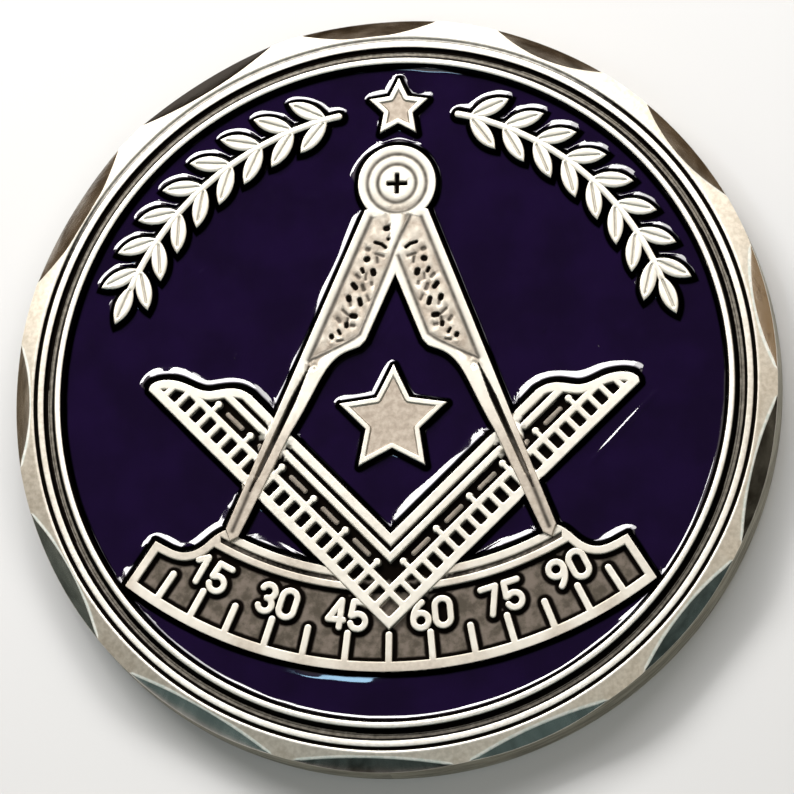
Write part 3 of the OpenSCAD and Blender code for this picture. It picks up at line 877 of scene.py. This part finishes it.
def make_mesh(name, points, faces, normals=None, attributes=()):
    """A mesh object from points in millimetres, whose heights are above the coin's back."""
    mesh = bpy.data.meshes.new(name)
    mesh.vertices.add(len(points))
    mesh.vertices.foreach_set("co", (np.asarray(points) * MM).astype(F32).ravel())
    mesh.loops.add(3 * len(faces))
    mesh.loops.foreach_set("vertex_index", np.asarray(faces, np.int32).ravel())
    mesh.polygons.add(len(faces))
    mesh.polygons.foreach_set("loop_start", np.arange(0, 3 * len(faces), 3, dtype=np.int32))
    mesh.polygons.foreach_set("use_smooth", np.ones(len(faces), bool))
    mesh.update(calc_edges=True)
    for key, values in attributes:
        made = mesh.attributes.new(key, "FLOAT_VECTOR", "POINT")
        made.data.foreach_set("vector", np.asarray(values, F32).ravel())
    if mesh.validate():
        print("mesh", name, "had faults that Blender mended")
    if normals is not None:
        own = np.zeros(3 * len(mesh.vertices), F32)
        mesh.vertex_normals.foreach_get("vector", own)
        own = own.reshape(-1, 3)
        own[: len(normals)] = normals
        mesh.normals_split_custom_set_from_vertices(own.tolist())
    obj = bpy.data.objects.new(name, mesh)
    bpy.context.scene.collection.objects.link(obj)
    return obj


def rim_angles():
    """Degrees clockwise of the rim's columns: even, but with one moved to each end of each facet."""
    theta = np.arange(COLUMNS) * 360.0 / COLUMNS
    for middle, _, half, _ in FACETS:
        for end in ((middle - half) % 360, (middle + half) % 360):
            theta[int(round(end * COLUMNS / 360)) % COLUMNS] = end
    return theta


def coin_metal():
    theta = rim_angles()
    way = np.stack([np.sin(np.radians(theta)), np.cos(np.radians(theta))], 1)
    flat, faces, origin = relief_plan(FIELD_R * way).triangles()
    z, surface_and_shade = relief(*flat.T)
    at_ring = {s: i for i, sources in enumerate(origin) for s in sources if s < COLUMNS}
    first = np.array([at_ring[s] for s in range(COLUMNS)])
    z[first] = FLOOR
    faces = facing(flat, faces)
    normals = slopes(lambda x, y: relief(x, y)[0], *flat.T)
    # the rim's columns, from the field's wall over the edge to the back
    rim = np.stack([rim_column(t) for t in theta])
    rows = rim.shape[1]
    base = len(flat)
    rim_points = np.concatenate([rim[:, :, :1] * way[:, None, :], rim[:, :, 1:2]], 2).reshape(-1, 3)
    index = np.column_stack([first, base + np.arange(COLUMNS * rows).reshape(COLUMNS, rows)])
    a, b = index, np.roll(index, -1, 0)
    quads = [(a[:, :-1], b[:, 1:], a[:, 1:]), (a[:, :-1], b[:, :-1], b[:, 1:])]
    strips = [np.stack([p.ravel(), q.ravel(), r.ravel()], 1) for p, q, r in quads]
    centre = base + COLUMNS * rows
    fan = np.stack([np.full(COLUMNS, centre), b[:, -1], a[:, -1]], 1)
    points = np.concatenate([np.column_stack([flat, z]), rim_points, [[0, 0, -COIN_H]]])
    points[:, 2] += COIN_H
    metal_surface_and_shade, zone, light_and_tone = np.zeros((3, len(points), 3))
    # how dark, matte and grey the metal is, with painted shade in the relief's matte and painted shadow in
    # the rim's dark
    metal_surface_and_shade[:base] = surface_and_shade
    metal_surface_and_shade[base:-1, 0] = rim[:, :, 2].ravel()
    zone[base:-1] = rim[:, :, 3:6].reshape(-1, 3)
    # each facet's painted light, and the tones of band and side
    light_and_tone[base:-1] = rim[:, :, 6:].reshape(-1, 3)
    faces = np.concatenate([faces] + strips + [fan])
    attributes = (("surface_and_shade", metal_surface_and_shade), ("zone", zone), ("light_and_tone", light_and_tone))
    return make_mesh("coin_metal", points, faces, normals, attributes)


# Enamel
COARSE = 2
COARSE_CELL = CELL * COARSE
REACH = 0.25  # how far from the metal the enamel's climbing edge dies away


def spread(walls, value, reach, rounds=90):
    """A field that is value on the walls and dies away over reach, as a liquid's edge does. It is solved
    on coarser grids first."""
    h = None
    for skip in (8, 4, 2, 1):
        wall, own = walls[::skip, ::skip], value[::skip, ::skip]
        k = (reach / (COARSE_CELL * skip)) ** 2
        if h is None:
            h = np.zeros(wall.shape, F32)
        else:
            h = np.repeat(np.repeat(h, 2, 0), 2, 1)[: wall.shape[0], : wall.shape[1]]
        h = np.where(wall, own, h)
        for _ in range(rounds):
            s = np.zeros_like(h)
            s[1:-1, 1:-1] = h[:-2, 1:-1] + h[2:, 1:-1] + h[1:-1, :-2] + h[1:-1, 2:]
            h = np.where(wall, own, F32(k / (1 + 4 * k)) * s)
    return h


# How high the enamel climbs each shape, less on the square and least on the quadrant, whose tops lie
# lower, and how far from the metal its slope ends. A later row counts where two shapes meet.
CLIMB = (
    ("quadrant", 0.3, 0.68), ("square", 0.38, 0.86), ("compasses", 0.45, 0.66), ("sprays", 0.42, 0.5),
    ("stars", 0.42, 0.56),
)  # fmt: skip
RING_CLIMB = 0.45
RING_END = 0.42
OTHER_END = 0.66
TOUCH = 0.02  # as near as this to the metal, the enamel touches it


def enamel_field():
    """Distance from the metal at the enamel's surface, positive over enamel."""
    shapes = [fields[key] for key, _, _ in CLIMB]
    return np.minimum(np.minimum.reduce(shapes), F32(FIELD_R + 0.01) - GR)


gap = enamel_field()
coarse_gap = gap[::COARSE, ::COARSE]
walls = coarse_gap < TOUCH
on_ring = coarse_gap >= F32(FIELD_R - 0.06) - GR[::COARSE, ::COARSE]
lift = np.full(coarse_gap.shape, RING_CLIMB, F32)
end = np.where(on_ring, F32(RING_END), F32(OTHER_END))
for key, height, width in CLIMB:
    touching = fields[key][::COARSE, ::COARSE] < TOUCH
    lift[touching] = height
    end[touching] = width
closeness = spread(walls, np.ones_like(lift), REACH)
meniscus = spread(walls, lift, REACH)
slope_end = spread(walls, end, REACH)


SLOPE = 0.3  # the fall of the enamel's edge that mirrors the lamp
RIPPLES = (  # faint ridges in the enamel: from, to, height, width
    ((11.2, -4.7), (15.5, 0.0), 0.062, 0.2), ((-0.85, 3.2), (0.1, 4.6), 0.02, 0.13),
    ((-9.4, 2.15), (-9.15, 2.4), 0.03, 0.16), ((11.85, 2.5), (11.95, 2.55), 0.02, 0.12),
    ((-11.6, 7.2), (-11.1, 7.6), 0.018, 0.12), ((8.6, 3.4), (8.8, 3.7), 0.018, 0.1),
)  # fmt: skip
SWELLS = (  # where the enamel's edge is steeper or flatter than elsewhere: x, y, reach, share of its fall
    (-5.3, 4.2, 2.2, -0.55), (-7, 0.6, 1.2, -0.6), (-9.3, -5.2, 1.3, -0.8), (-14.9, -9.6, 0.8, -1),
    (-16, -11, 0.7, 0.5), (-13.95, -7.95, 0.2, -1), (-12.9, -8.6, 0.8, 0.3), (-11.7, -9.2, 0.25, -1),
    (-13.3, 1.5, 0.4, -0.5), (-8.6, 0.4, 1.2, 0.3), (8.4, 1.0, 1.4, 0.3), (6.9, -8.8, 1.0, 0.3),
    (1.7, 19.2, 1.0, 0.72), (10.2, -7.9, 0.7, -1), (11.4, -8.8, 0.5, -1), (-5, -16.6, 2.0, 0.55),
    (-1.3, -17.0, 2.0, 0.55), (5.5, -2.0, 0.45, -1), (-2.7, 13.6, 1.1, 0.35), (1.7, 14.4, 1.0, -1),
    (1.0, 17.8, 0.4, -1),
)  # fmt: skip


def metal_distance(x, y):
    """Distance from the metal, smoothed round corners, with its closeness from 1 at the metal to 0."""
    near = np.clip(sample(closeness, x, y, COARSE_CELL), 1e-4, 1)
    return -REACH * np.log(near), near


def catching(x, y):
    """How far the enamel's edge there faces the lamps, from 0 to 1. It is gentler and mirrors nothing on
    the other sides, and along the upper right side of the square's left arm."""
    step = 0.1
    near = lambda dx, dy: sample(closeness, x + dx, y + dy, COARSE_CELL)
    dx, dy = near(-step, 0) - near(step, 0), near(0, -step) - near(0, step)
    steep = REACH * np.hypot(dx, dy) / (2 * step * metal_distance(x, y)[1])
    azimuth = np.degrees(np.arctan2(dx, dy))
    towards = smoothstep(0.25, 0.6, np.cos(np.radians(azimuth + 15 + 12 * smoothstep(2, 8, x))))
    calm = smoothstep(0.5, 0.8, np.cos(np.radians(azimuth - 45)))
    calm = calm * smoothstep(6.6, 5.8, np.abs(x) + np.abs(y + 3.5))
    return 0.4 + (towards * (1 - calm) - 0.4) * smoothstep(0.1, 0.8, steep)


def edge_end(x, y, near):
    """How far from the metal the slope of the enamel's edge ends."""
    return np.clip(sample(slope_end, x, y, COARSE_CELL) / near, 0.3, 0.9)


def enamel_height(x, y):
    d, near = metal_distance(x, y)
    climb = np.minimum(sample(meniscus, x, y, COARSE_CELL) / near, 0.45)
    end = edge_end(x, y, near) * (1 + 0.12 * noise(x, y, 1.7, 7.7))
    uneven = noise(x, y, 2.3, 2.9)
    share = (1 + np.where(uneven < 0, 0.4, 0.12) * uneven) * (0.25 + 0.75 * catching(x, y))
    for cx, cy, reach, gain in SWELLS:
        share = share + gain * np.exp(-((x - cx) ** 2 + (y - cy) ** 2) / reach**2)
    # it is flatter in corners
    corner = smoothstep(0.03, 0.2, sample(gap, x, y) - d) * smoothstep(0, 0.1, d)
    fall = SLOPE * np.clip(share, 0, 1.15) * (1 - 0.85 * corner)
    fall = np.minimum(fall, (climb - 0.03) / end)
    soft = 0.05
    foot = fall * soft * np.logaddexp(0, (end - d) / soft)
    waves = 0.04 * noise(x, y, 2.6, 9.1) + 0.01 * noise(x, y, 1.1, 5.2)
    z = ENAMEL + foot + (climb - fall * end) * np.exp(-d / 0.08) + waves * (1 - near**2)
    for a, b, height, width in RIPPLES:
        t, off = nearest(x, y, a, b)
        z += height * (1 - (2 * t - 1) ** 4) * bell(off, width) * (off < 3 * width)
    return z


def painted_edge_shade(x, y):
    """How much painted shade lies on the enamel round the metal: a black layer that stands in for shade
    and dark reflections at its foot, wider where its edge catches light.
    """
    end = edge_end(x, y, metal_distance(x, y)[1])
    start = 0.26 + (0.48 * end - 0.26) * catching(x, y)
    start *= 1 - 0.7 * np.exp(-((x - 1.8) ** 2) / 1.5 - (y - 19.2) ** 2)
    return 1 - smoothstep(start, start + 0.09, sample(gap, x, y) + 0.015 * noise(x, y, 0.8, 4.4))


TUCK = 0.03  # how far the enamel runs in under the metal's outline
BED = 0.03  # its height above the field's floor
ENAMEL_LEVELS = (-TUCK, 0.02, 0.08, 0.14, 0.2, 0.26, 0.32, 0.38, 0.44, 0.5, 0.56, 0.62, 0.68)
POOLS = {
    "centre_enamel": ((0, 8), (6.1, -2.5), (0, -9), (-6.1, -2.5)),
    "left_cell_enamel": ((-8, -5.5), (-9.3, -8.3), (-3, -12), (-3, -10)),
    "right_cell_enamel": ((8, -5.5), (9.3, -8.3), (3, -12), (3, -10)),
}


def inside_polygon(points, x, y):
    inside = np.zeros(len(x), bool)
    for (ax, ay), (bx, by) in zip(points, points[1:] + points[:1]):
        if ay != by:
            inside ^= ((ay > y) != (by > y)) & (x < ax + (y - ay) * (bx - ax) / (by - ay))
    return inside


def enamel_plan():
    plan = Plan()
    for _, line in lines_at(gap, ENAMEL_LEVELS, 0.003, 0.45):
        plan.line(line)
    grid = lattice(19.4, 0.42, 0.06)
    plan.loose(grid[sample(gap, *grid.T) > 0.6])
    grid = lattice(19.1, 0.13, 0.02)
    plan.loose(grid[(sample(gap, *grid.T) > 0.66) & (metal_distance(*grid.T)[0] < 1.15)])
    # closer points in the corners, where the edge's slope doesn't follow the metal's outline
    grid = lattice(19.1, 0.07)
    off = sample(gap, *grid.T)
    near_metal = (off > 0.1) & (off < 0.99 * FAR)
    grid, off = grid[near_metal], off[near_metal]
    d = metal_distance(*grid.T)[0]
    plan.loose(grid[(d < 0.9) & (off - d > 0.05)])
    for a, b, _, width in RIPPLES:
        a, b = np.array(a), np.array(b)
        way = (b - a) / np.hypot(*(b - a))
        t = np.arange(-2 * width, np.hypot(*(b - a)) + 2 * width, 0.12)
        for off in np.arange(-2, 2.1, 0.4) * width:
            plan.loose(a + t[:, None] * way + off * np.array([-way[1], way[0]]))
    return plan


def over_enamel(points):
    return sample(gap, *points.T) > -TUCK - 0.001


def walls_and_bottom(xy, surface):
    """Closes a piece under its surface: points for its flat bottom, and the triangles of walls and bottom,
    whose points follow those of the surface."""
    halves = np.concatenate([surface[:, [0, 1]], surface[:, [1, 2]], surface[:, [2, 0]]])
    keys = {tuple(e) for e in halves.tolist()}
    rim = [e for e in keys if (e[1], e[0]) not in keys]
    ids = sorted({i for e in rim for i in e})
    slot = {v: k for k, v in enumerate(ids)}
    edges = [(slot[a], slot[b]) for a, b in rim]
    made = delaunay_2d_cdt([Vector(p) for p in xy[ids]], edges, [], 0, 1e-7, True)
    low = np.array([v[:] for v in made[0]])
    bottom = facing(low, np.array(made[2], np.int64), -1)
    bottom = bottom[over_enamel(low[bottom].mean(1))]
    place = {s: i for i, sources in enumerate(made[3]) for s in sources}
    skirt = []
    for a, b in rim:
        c, d = len(xy) + place[slot[a]], len(xy) + place[slot[b]]
        skirt += [(b, a, c), (b, c, d)]
    points = np.column_stack([low, np.full(len(low), FLOOR + BED)])
    return points, np.concatenate([np.array(skirt), bottom + len(xy)])


def enamel_piece(node, flat, faces):
    used, surface = np.unique(faces, return_inverse=True)
    surface = surface.reshape(-1, 3)
    xy = flat[used]
    low, closing = walls_and_bottom(xy, surface)
    points = np.vstack([np.column_stack([xy, enamel_height(*xy.T)]), low])
    points[:, 2] += COIN_H
    painted_shade = np.zeros((len(points), 3))
    # painted shade: a black layer along the metal's foot
    painted_shade[: len(xy), 0] = painted_edge_shade(*xy.T)
    painted_shade[len(xy) :] = 1
    normals = slopes(enamel_height, *xy.T, 0.02)
    name = "enamel_" + node.replace("_enamel", "")
    return make_mesh(name, points, np.concatenate([surface, closing]), normals, [("painted_shade", painted_shade)])


def enamel_pieces():
    flat, faces, _ = enamel_plan().triangles()
    faces = facing(flat, faces)
    middle = flat[faces].mean(1)
    keep = over_enamel(middle) & (np.hypot(*middle.T) < FIELD_R + 0.04)
    faces, middle = faces[keep], middle[keep]
    owner = np.full(len(faces), "field_enamel", object)
    for name, outline in POOLS.items():
        owner[inside_polygon(outline, *middle.T)] = name
    return [(name, enamel_piece(name, flat, faces[owner == name])) for name in ("field_enamel", *POOLS)]


# Materials
class Nodes:
    """Short ways to add and join nodes in one material."""

    def __init__(self, tree):
        self.tree = tree

    @classmethod
    def material(cls, name):
        made = bpy.data.materials.new(name)
        made.use_nodes = True
        nodes = cls(made.node_tree)
        nodes.shader = made.node_tree.nodes["Principled BSDF"]
        return made, nodes

    def add(self, kind, inputs=(), **settings):
        node = self.tree.nodes.new(kind)
        for key, value in settings.items():
            setattr(node, key, value)
        for key, value in dict(inputs).items():
            self.set(node.inputs[key], value)
        return node

    def set(self, socket, value):
        if isinstance(value, bpy.types.NodeSocket):
            self.tree.links.new(value, socket)
        else:
            socket.default_value = value

    def give(self, name, value):
        self.set(self.shader.inputs[name], value)

    def math(self, operation, a, b=0.0, clamp=False):
        node = self.add("ShaderNodeMath", operation=operation, use_clamp=clamp)
        self.set(node.inputs[0], a)
        self.set(node.inputs[1], b)
        return node.outputs[0]

    def times(self, a, b):
        return self.math("MULTIPLY", a, b)

    def plus(self, a, b):
        return self.math("ADD", a, b)

    def varied(self, value, by, amount):
        """The value, moved up and down by a noise around a half."""
        return self.math("ADD", value, self.times(self.math("SUBTRACT", by, 0.5), amount), clamp=True)

    def mix(self, factor, a, b, kind="RGBA"):
        node = self.add("ShaderNodeMix", data_type=kind)
        first, second = (6, 7) if kind == "RGBA" else (2, 3)
        self.set(node.inputs[0], factor)
        self.set(node.inputs[first], a)
        self.set(node.inputs[second], b)
        return node.outputs[2 if kind == "RGBA" else 0]

    def ramp(self, value, a, b, to_a=0.0, to_b=1.0):
        node = self.add("ShaderNodeMapRange", interpolation_type="SMOOTHSTEP")
        for socket, v in zip(node.inputs, (value, a, b, to_a, to_b)):
            self.set(socket, v)
        return node.outputs[0]

    def tint(self, noise, low, dark, pale):
        """A colour between two, by a noise around a half whose range starts at low."""
        return self.mix(self.ramp(noise, low, 1 - low), rgb(*dark), rgb(*pale))

    def noise(self, place, scale, detail=2.0, rough=0.5, stretch=None):
        if stretch is not None:
            place = self.add("ShaderNodeMapping", {"Vector": place, "Scale": stretch}).outputs[0]
        inputs = {"Vector": place, "Scale": scale, "Detail": detail, "Roughness": rough}
        return self.add("ShaderNodeTexNoise", inputs).outputs["Fac"]

    def attribute(self, name):
        """The three numbers kept under a name at the mesh's points."""
        kept = self.add("ShaderNodeAttribute", attribute_name=name).outputs["Vector"]
        return self.add("ShaderNodeSeparateXYZ", {0: kept}).outputs

    def place(self):
        """Object coordinates in millimetres."""
        coords = self.add("ShaderNodeTexCoord").outputs["Object"]
        node = self.add("ShaderNodeVectorMath", {0: coords}, operation="SCALE")
        node.inputs["Scale"].default_value = 1000.0
        return node.outputs[0]


def rgb(r, g, b):
    """Linear colour from display values between 0 and 255."""
    lin = lambda v: v / 12.92 if v <= 0.04045 else ((v + 0.055) / 1.055) ** 2.4
    return (lin(r / 255), lin(g / 255), lin(b / 255), 1.0)


def metal_material():
    material, n = Nodes.material("antique_silver")
    place = n.place()
    dark, matte, grey = n.attribute("surface_and_shade")
    cut, rim, lip = n.attribute("zone")
    # each facet's painted light, and the tones of band and side
    pale, band, side = n.attribute("light_and_tone")
    broad = n.noise(place, 0.35, 3.0)
    fine = n.noise(place, 3.0, 4.0, 0.6)
    grain = n.noise(place, 22.0, 2.0)
    speck = n.noise(place, 3.6, 3.0, 0.55)
    # marks of the cutter run along the facets
    at = n.add("ShaderNodeSeparateXYZ", {0: place}).outputs
    round_way = n.times(n.math("ARCTAN2", at[0], at[1]), COIN_R)
    out_way = n.math("SQRT", n.plus(n.times(at[0], at[0]), n.times(at[1], at[1])))
    polar = n.add("ShaderNodeCombineXYZ", {0: round_way, 1: n.plus(out_way, at[2])}).outputs[0]
    streaks = n.noise(polar, 1.0, 3.0, 0.65, (0.7, 5.0, 1.0))
    blotch = n.noise(polar, 1.0, 4.0, 0.6, (0.35, 3.0, 1.0))
    # patina lies where the metal is low, thinner and broken at its edge; the same dark also paints the
    # shadow on the rim groove's floor and the lighter line outside its bead
    patina_and_shadow = n.ramp(n.varied(dark, fine, 0.3), 0.12, 0.85)
    silver = n.tint(broad, 0.3, (211, 206, 195), (218, 214, 204))
    satin = n.tint(fine, 0.3, (150, 139, 127), (174, 164, 152))
    cloud = n.noise(place, 1.3, 4.0, 0.6)
    pocket = n.tint(cloud, 0.35, (76, 70, 62), (108, 99, 91))
    beige = n.tint(speck, 0.3, (178, 169, 155), (199, 191, 178))
    girdle = n.tint(blotch, 0.35, (120, 116, 100), (168, 163, 146))
    # matte metal takes the darker satin tone; on the compasses' lower part that matte share is painted
    # shade
    colour = n.mix(matte, silver, satin)
    colour = n.mix(grey, colour, pocket)
    bright = n.tint(speck, 0.35, (226, 221, 211), (236, 232, 225))
    colour = n.mix(rim, colour, bright)
    colour = n.mix(band, colour, beige)
    colour = n.mix(side, colour, girdle)
    # painted light: each facet gets its painted tone, clouded, with a few darker streaks
    facet = n.mix(n.varied(pale, blotch, 0.9), rgb(66, 60, 54), rgb(250, 244, 236))
    facet = n.mix(n.times(n.ramp(streaks, 0.55, 0.75), 0.35), facet, rgb(70, 60, 52))
    colour = n.mix(cut, colour, facet)
    colour = n.mix(patina_and_shadow, colour, rgb(11, 8, 6))
    # painted highlight: the broken edge of a facet is painted light and less metallic, so it shows bright
    # from every side
    painted_edge_highlight = n.tint(fine, 0.4, (205, 212, 206), (228, 228, 222))
    colour = n.mix(lip, colour, painted_edge_highlight)
    n.give("Base Color", colour)
    n.give("Metallic", n.math("SUBTRACT", 1.0, n.times(lip, 0.7)))
    rough = n.ramp(fine, 0.25, 0.75, 0.44, 0.52)
    rough = n.mix(matte, rough, 0.6, "FLOAT")
    rough = n.mix(cut, rough, n.ramp(blotch, 0.3, 0.7, 0.12, 0.2), "FLOAT")
    rough = n.mix(n.math("MAXIMUM", patina_and_shadow, lip), rough, 0.6, "FLOAT")
    n.give("Roughness", rough)
    ripple = n.mix(cut, n.times(grain, 0.5), n.times(streaks, 0.7), "FLOAT")
    bump = n.add("ShaderNodeBump", {"Height": ripple, "Distance": 0.00002})
    n.set(bump.inputs["Strength"], n.plus(0.15, n.times(n.plus(matte, cut), 0.4)))
    n.give("Normal", bump.outputs[0])
    return material


def enamel_material():
    material, n = Nodes.material("purple_enamel")
    place = n.place()
    cloud = n.noise(place, 0.3, 3.0)
    purple = n.tint(cloud, 0.3, (14, 3, 29), (19, 5, 38))
    # painted shade: a black layer along the foot of the metal stands in for its shade and the dark
    # reflections there
    painted_shade = n.attribute("painted_shade")[0]
    n.give("Base Color", n.mix(painted_shade, purple, (0, 0, 0, 1)))
    n.give("Metallic", painted_shade)
    haze = n.noise(place, 1.4, 4.0, 0.6)
    n.give("Roughness", n.ramp(haze, 0.4, 0.8, 0.05, 0.09))
    n.give("IOR", 1.95)
    ripple = n.noise(place, 1.2, 2.0)
    bump = n.add("ShaderNodeBump", {"Height": ripple, "Distance": 0.000004, "Strength": 0.4})
    n.give("Normal", bump.outputs[0])
    return material


def floor_material():
    material, n = Nodes.material("pale_floor")
    tone = n.noise(n.place(), 0.02, 2.0)
    n.give("Base Color", n.mix(tone, rgb(196, 196, 198), rgb(202, 202, 203)))
    n.give("Roughness", 0.7)
    return material


# Build
metal = coin_metal()
metal.data.materials.append(metal_material())
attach(metal, "root")
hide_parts("coin_body")

enamel = enamel_material()
for node, piece in enamel_pieces():
    piece.data.materials.append(enamel)
    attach(piece, "root")
    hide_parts(node)

# Floor, lights and camera
FLOOR_HALF = 1500.0
corners = [(x * FLOOR_HALF, y * FLOOR_HALF, 0) for x, y in ((-1, -1), (1, -1), (1, 1), (-1, 1))]
floor = make_mesh("floor", corners, [(0, 1, 2), (0, 2, 3)])
floor.data.materials.append(floor_material())

TARGET = Vector((0, 0, COIN_H * MM))


def softbox(name, tilt, azimuth, distance, width, height, radiance, colour=(1, 1, 1)):
    """Area light aimed at the coin. tilt is from straight up, azimuth is clockwise from +Y."""
    t, a = math.radians(tilt), math.radians(azimuth)
    way = Vector((math.sin(t) * math.sin(a), math.sin(t) * math.cos(a), math.cos(t)))
    data = bpy.data.lights.new(name, "AREA")
    data.shape = "RECTANGLE"
    data.size, data.size_y = width, height
    data.energy = radiance * math.pi * width * height
    data.color = colour
    lamp = bpy.data.objects.new(name, data)
    lamp.location = TARGET + way * distance
    lamp.rotation_euler = way.to_track_quat("Z", "Y").to_euler()
    bpy.context.scene.collection.objects.link(lamp)


WARM = (1.0, 0.985, 0.96)
softbox("key_left", 48, -42, 0.25, 0.1, 0.08, 16, WARM)
softbox("key", 48, -14, 0.25, 0.12, 0.08, 14, WARM)
softbox("key_right", 41, 22, 0.25, 0.12, 0.09, 6.5, WARM)
softbox("low", 21.5, 209, 0.5, 0.1, 0.035, 8, (0.45, 0.75, 1.0))


def studio_world():
    """Dim surroundings: near black where the flat enamel mirrors, a soft pale belt round that for the rim,
    and a low horizon for the facets, brown behind the coin's top and blue-green below it."""
    world = bpy.data.worlds.new("studio")
    world.use_nodes = True
    tree = world.node_tree
    n = Nodes(tree)
    way = n.add("ShaderNodeTexCoord").outputs["Generated"]
    axes = n.add("ShaderNodeSeparateXYZ", {0: way}).outputs
    mirrored_way, lower_right_way = (-0.1546, 0.2292, 0.961), (0.87, -0.5, 0)
    near, lower_right = (
        n.add("ShaderNodeVectorMath", {0: way, 1: towards}, operation="DOT_PRODUCT").outputs["Value"]
        for towards in (mirrored_way, lower_right_way)
    )
    colour = n.mix(n.ramp(axes[1], -0.6, 0.5), (0.14, 0.21, 0.21, 1), (0.23, 0.157, 0.088, 1))
    belt = n.mix(n.ramp(lower_right, 0.28, 0.42), (0.75, 0.69, 0.6, 1), (1.9, 1.78, 1.6, 1))
    colour = n.mix(n.ramp(near, 0.45, 0.66), colour, belt)
    colour = n.mix(n.ramp(near, 0.74, 0.88), colour, (0.03, 0.03, 0.037, 1))
    n.set(tree.nodes["Background"].inputs[0], colour)
    return world


bpy.context.scene.world = studio_world()

TILT = math.radians(16.05)
LEAN = (0.559, -0.829)
DISTANCE = 0.6
FRAME_WIDTH = 45.7 * MM
OFFSET = Vector((0.237, -0.4, 0)) * MM
back = Vector((LEAN[0] * math.sin(TILT), LEAN[1] * math.sin(TILT), math.cos(TILT))).normalized()
turn = Vector((0, 0, 1)).rotation_difference(back)
camera_data = bpy.data.cameras.new("camera")
camera_data.sensor_width = 36
camera_data.lens = 36 * DISTANCE / FRAME_WIDTH
camera_data.clip_end = 10
camera = bpy.data.objects.new("camera", camera_data)
camera.rotation_mode = "QUATERNION"
camera.rotation_quaternion = turn
camera.location = TARGET + turn @ OFFSET + back * DISTANCE
bpy.context.scene.collection.objects.link(camera)
bpy.context.scene.camera = camera
bpy.context.scene.view_settings.view_transform = "Standard"
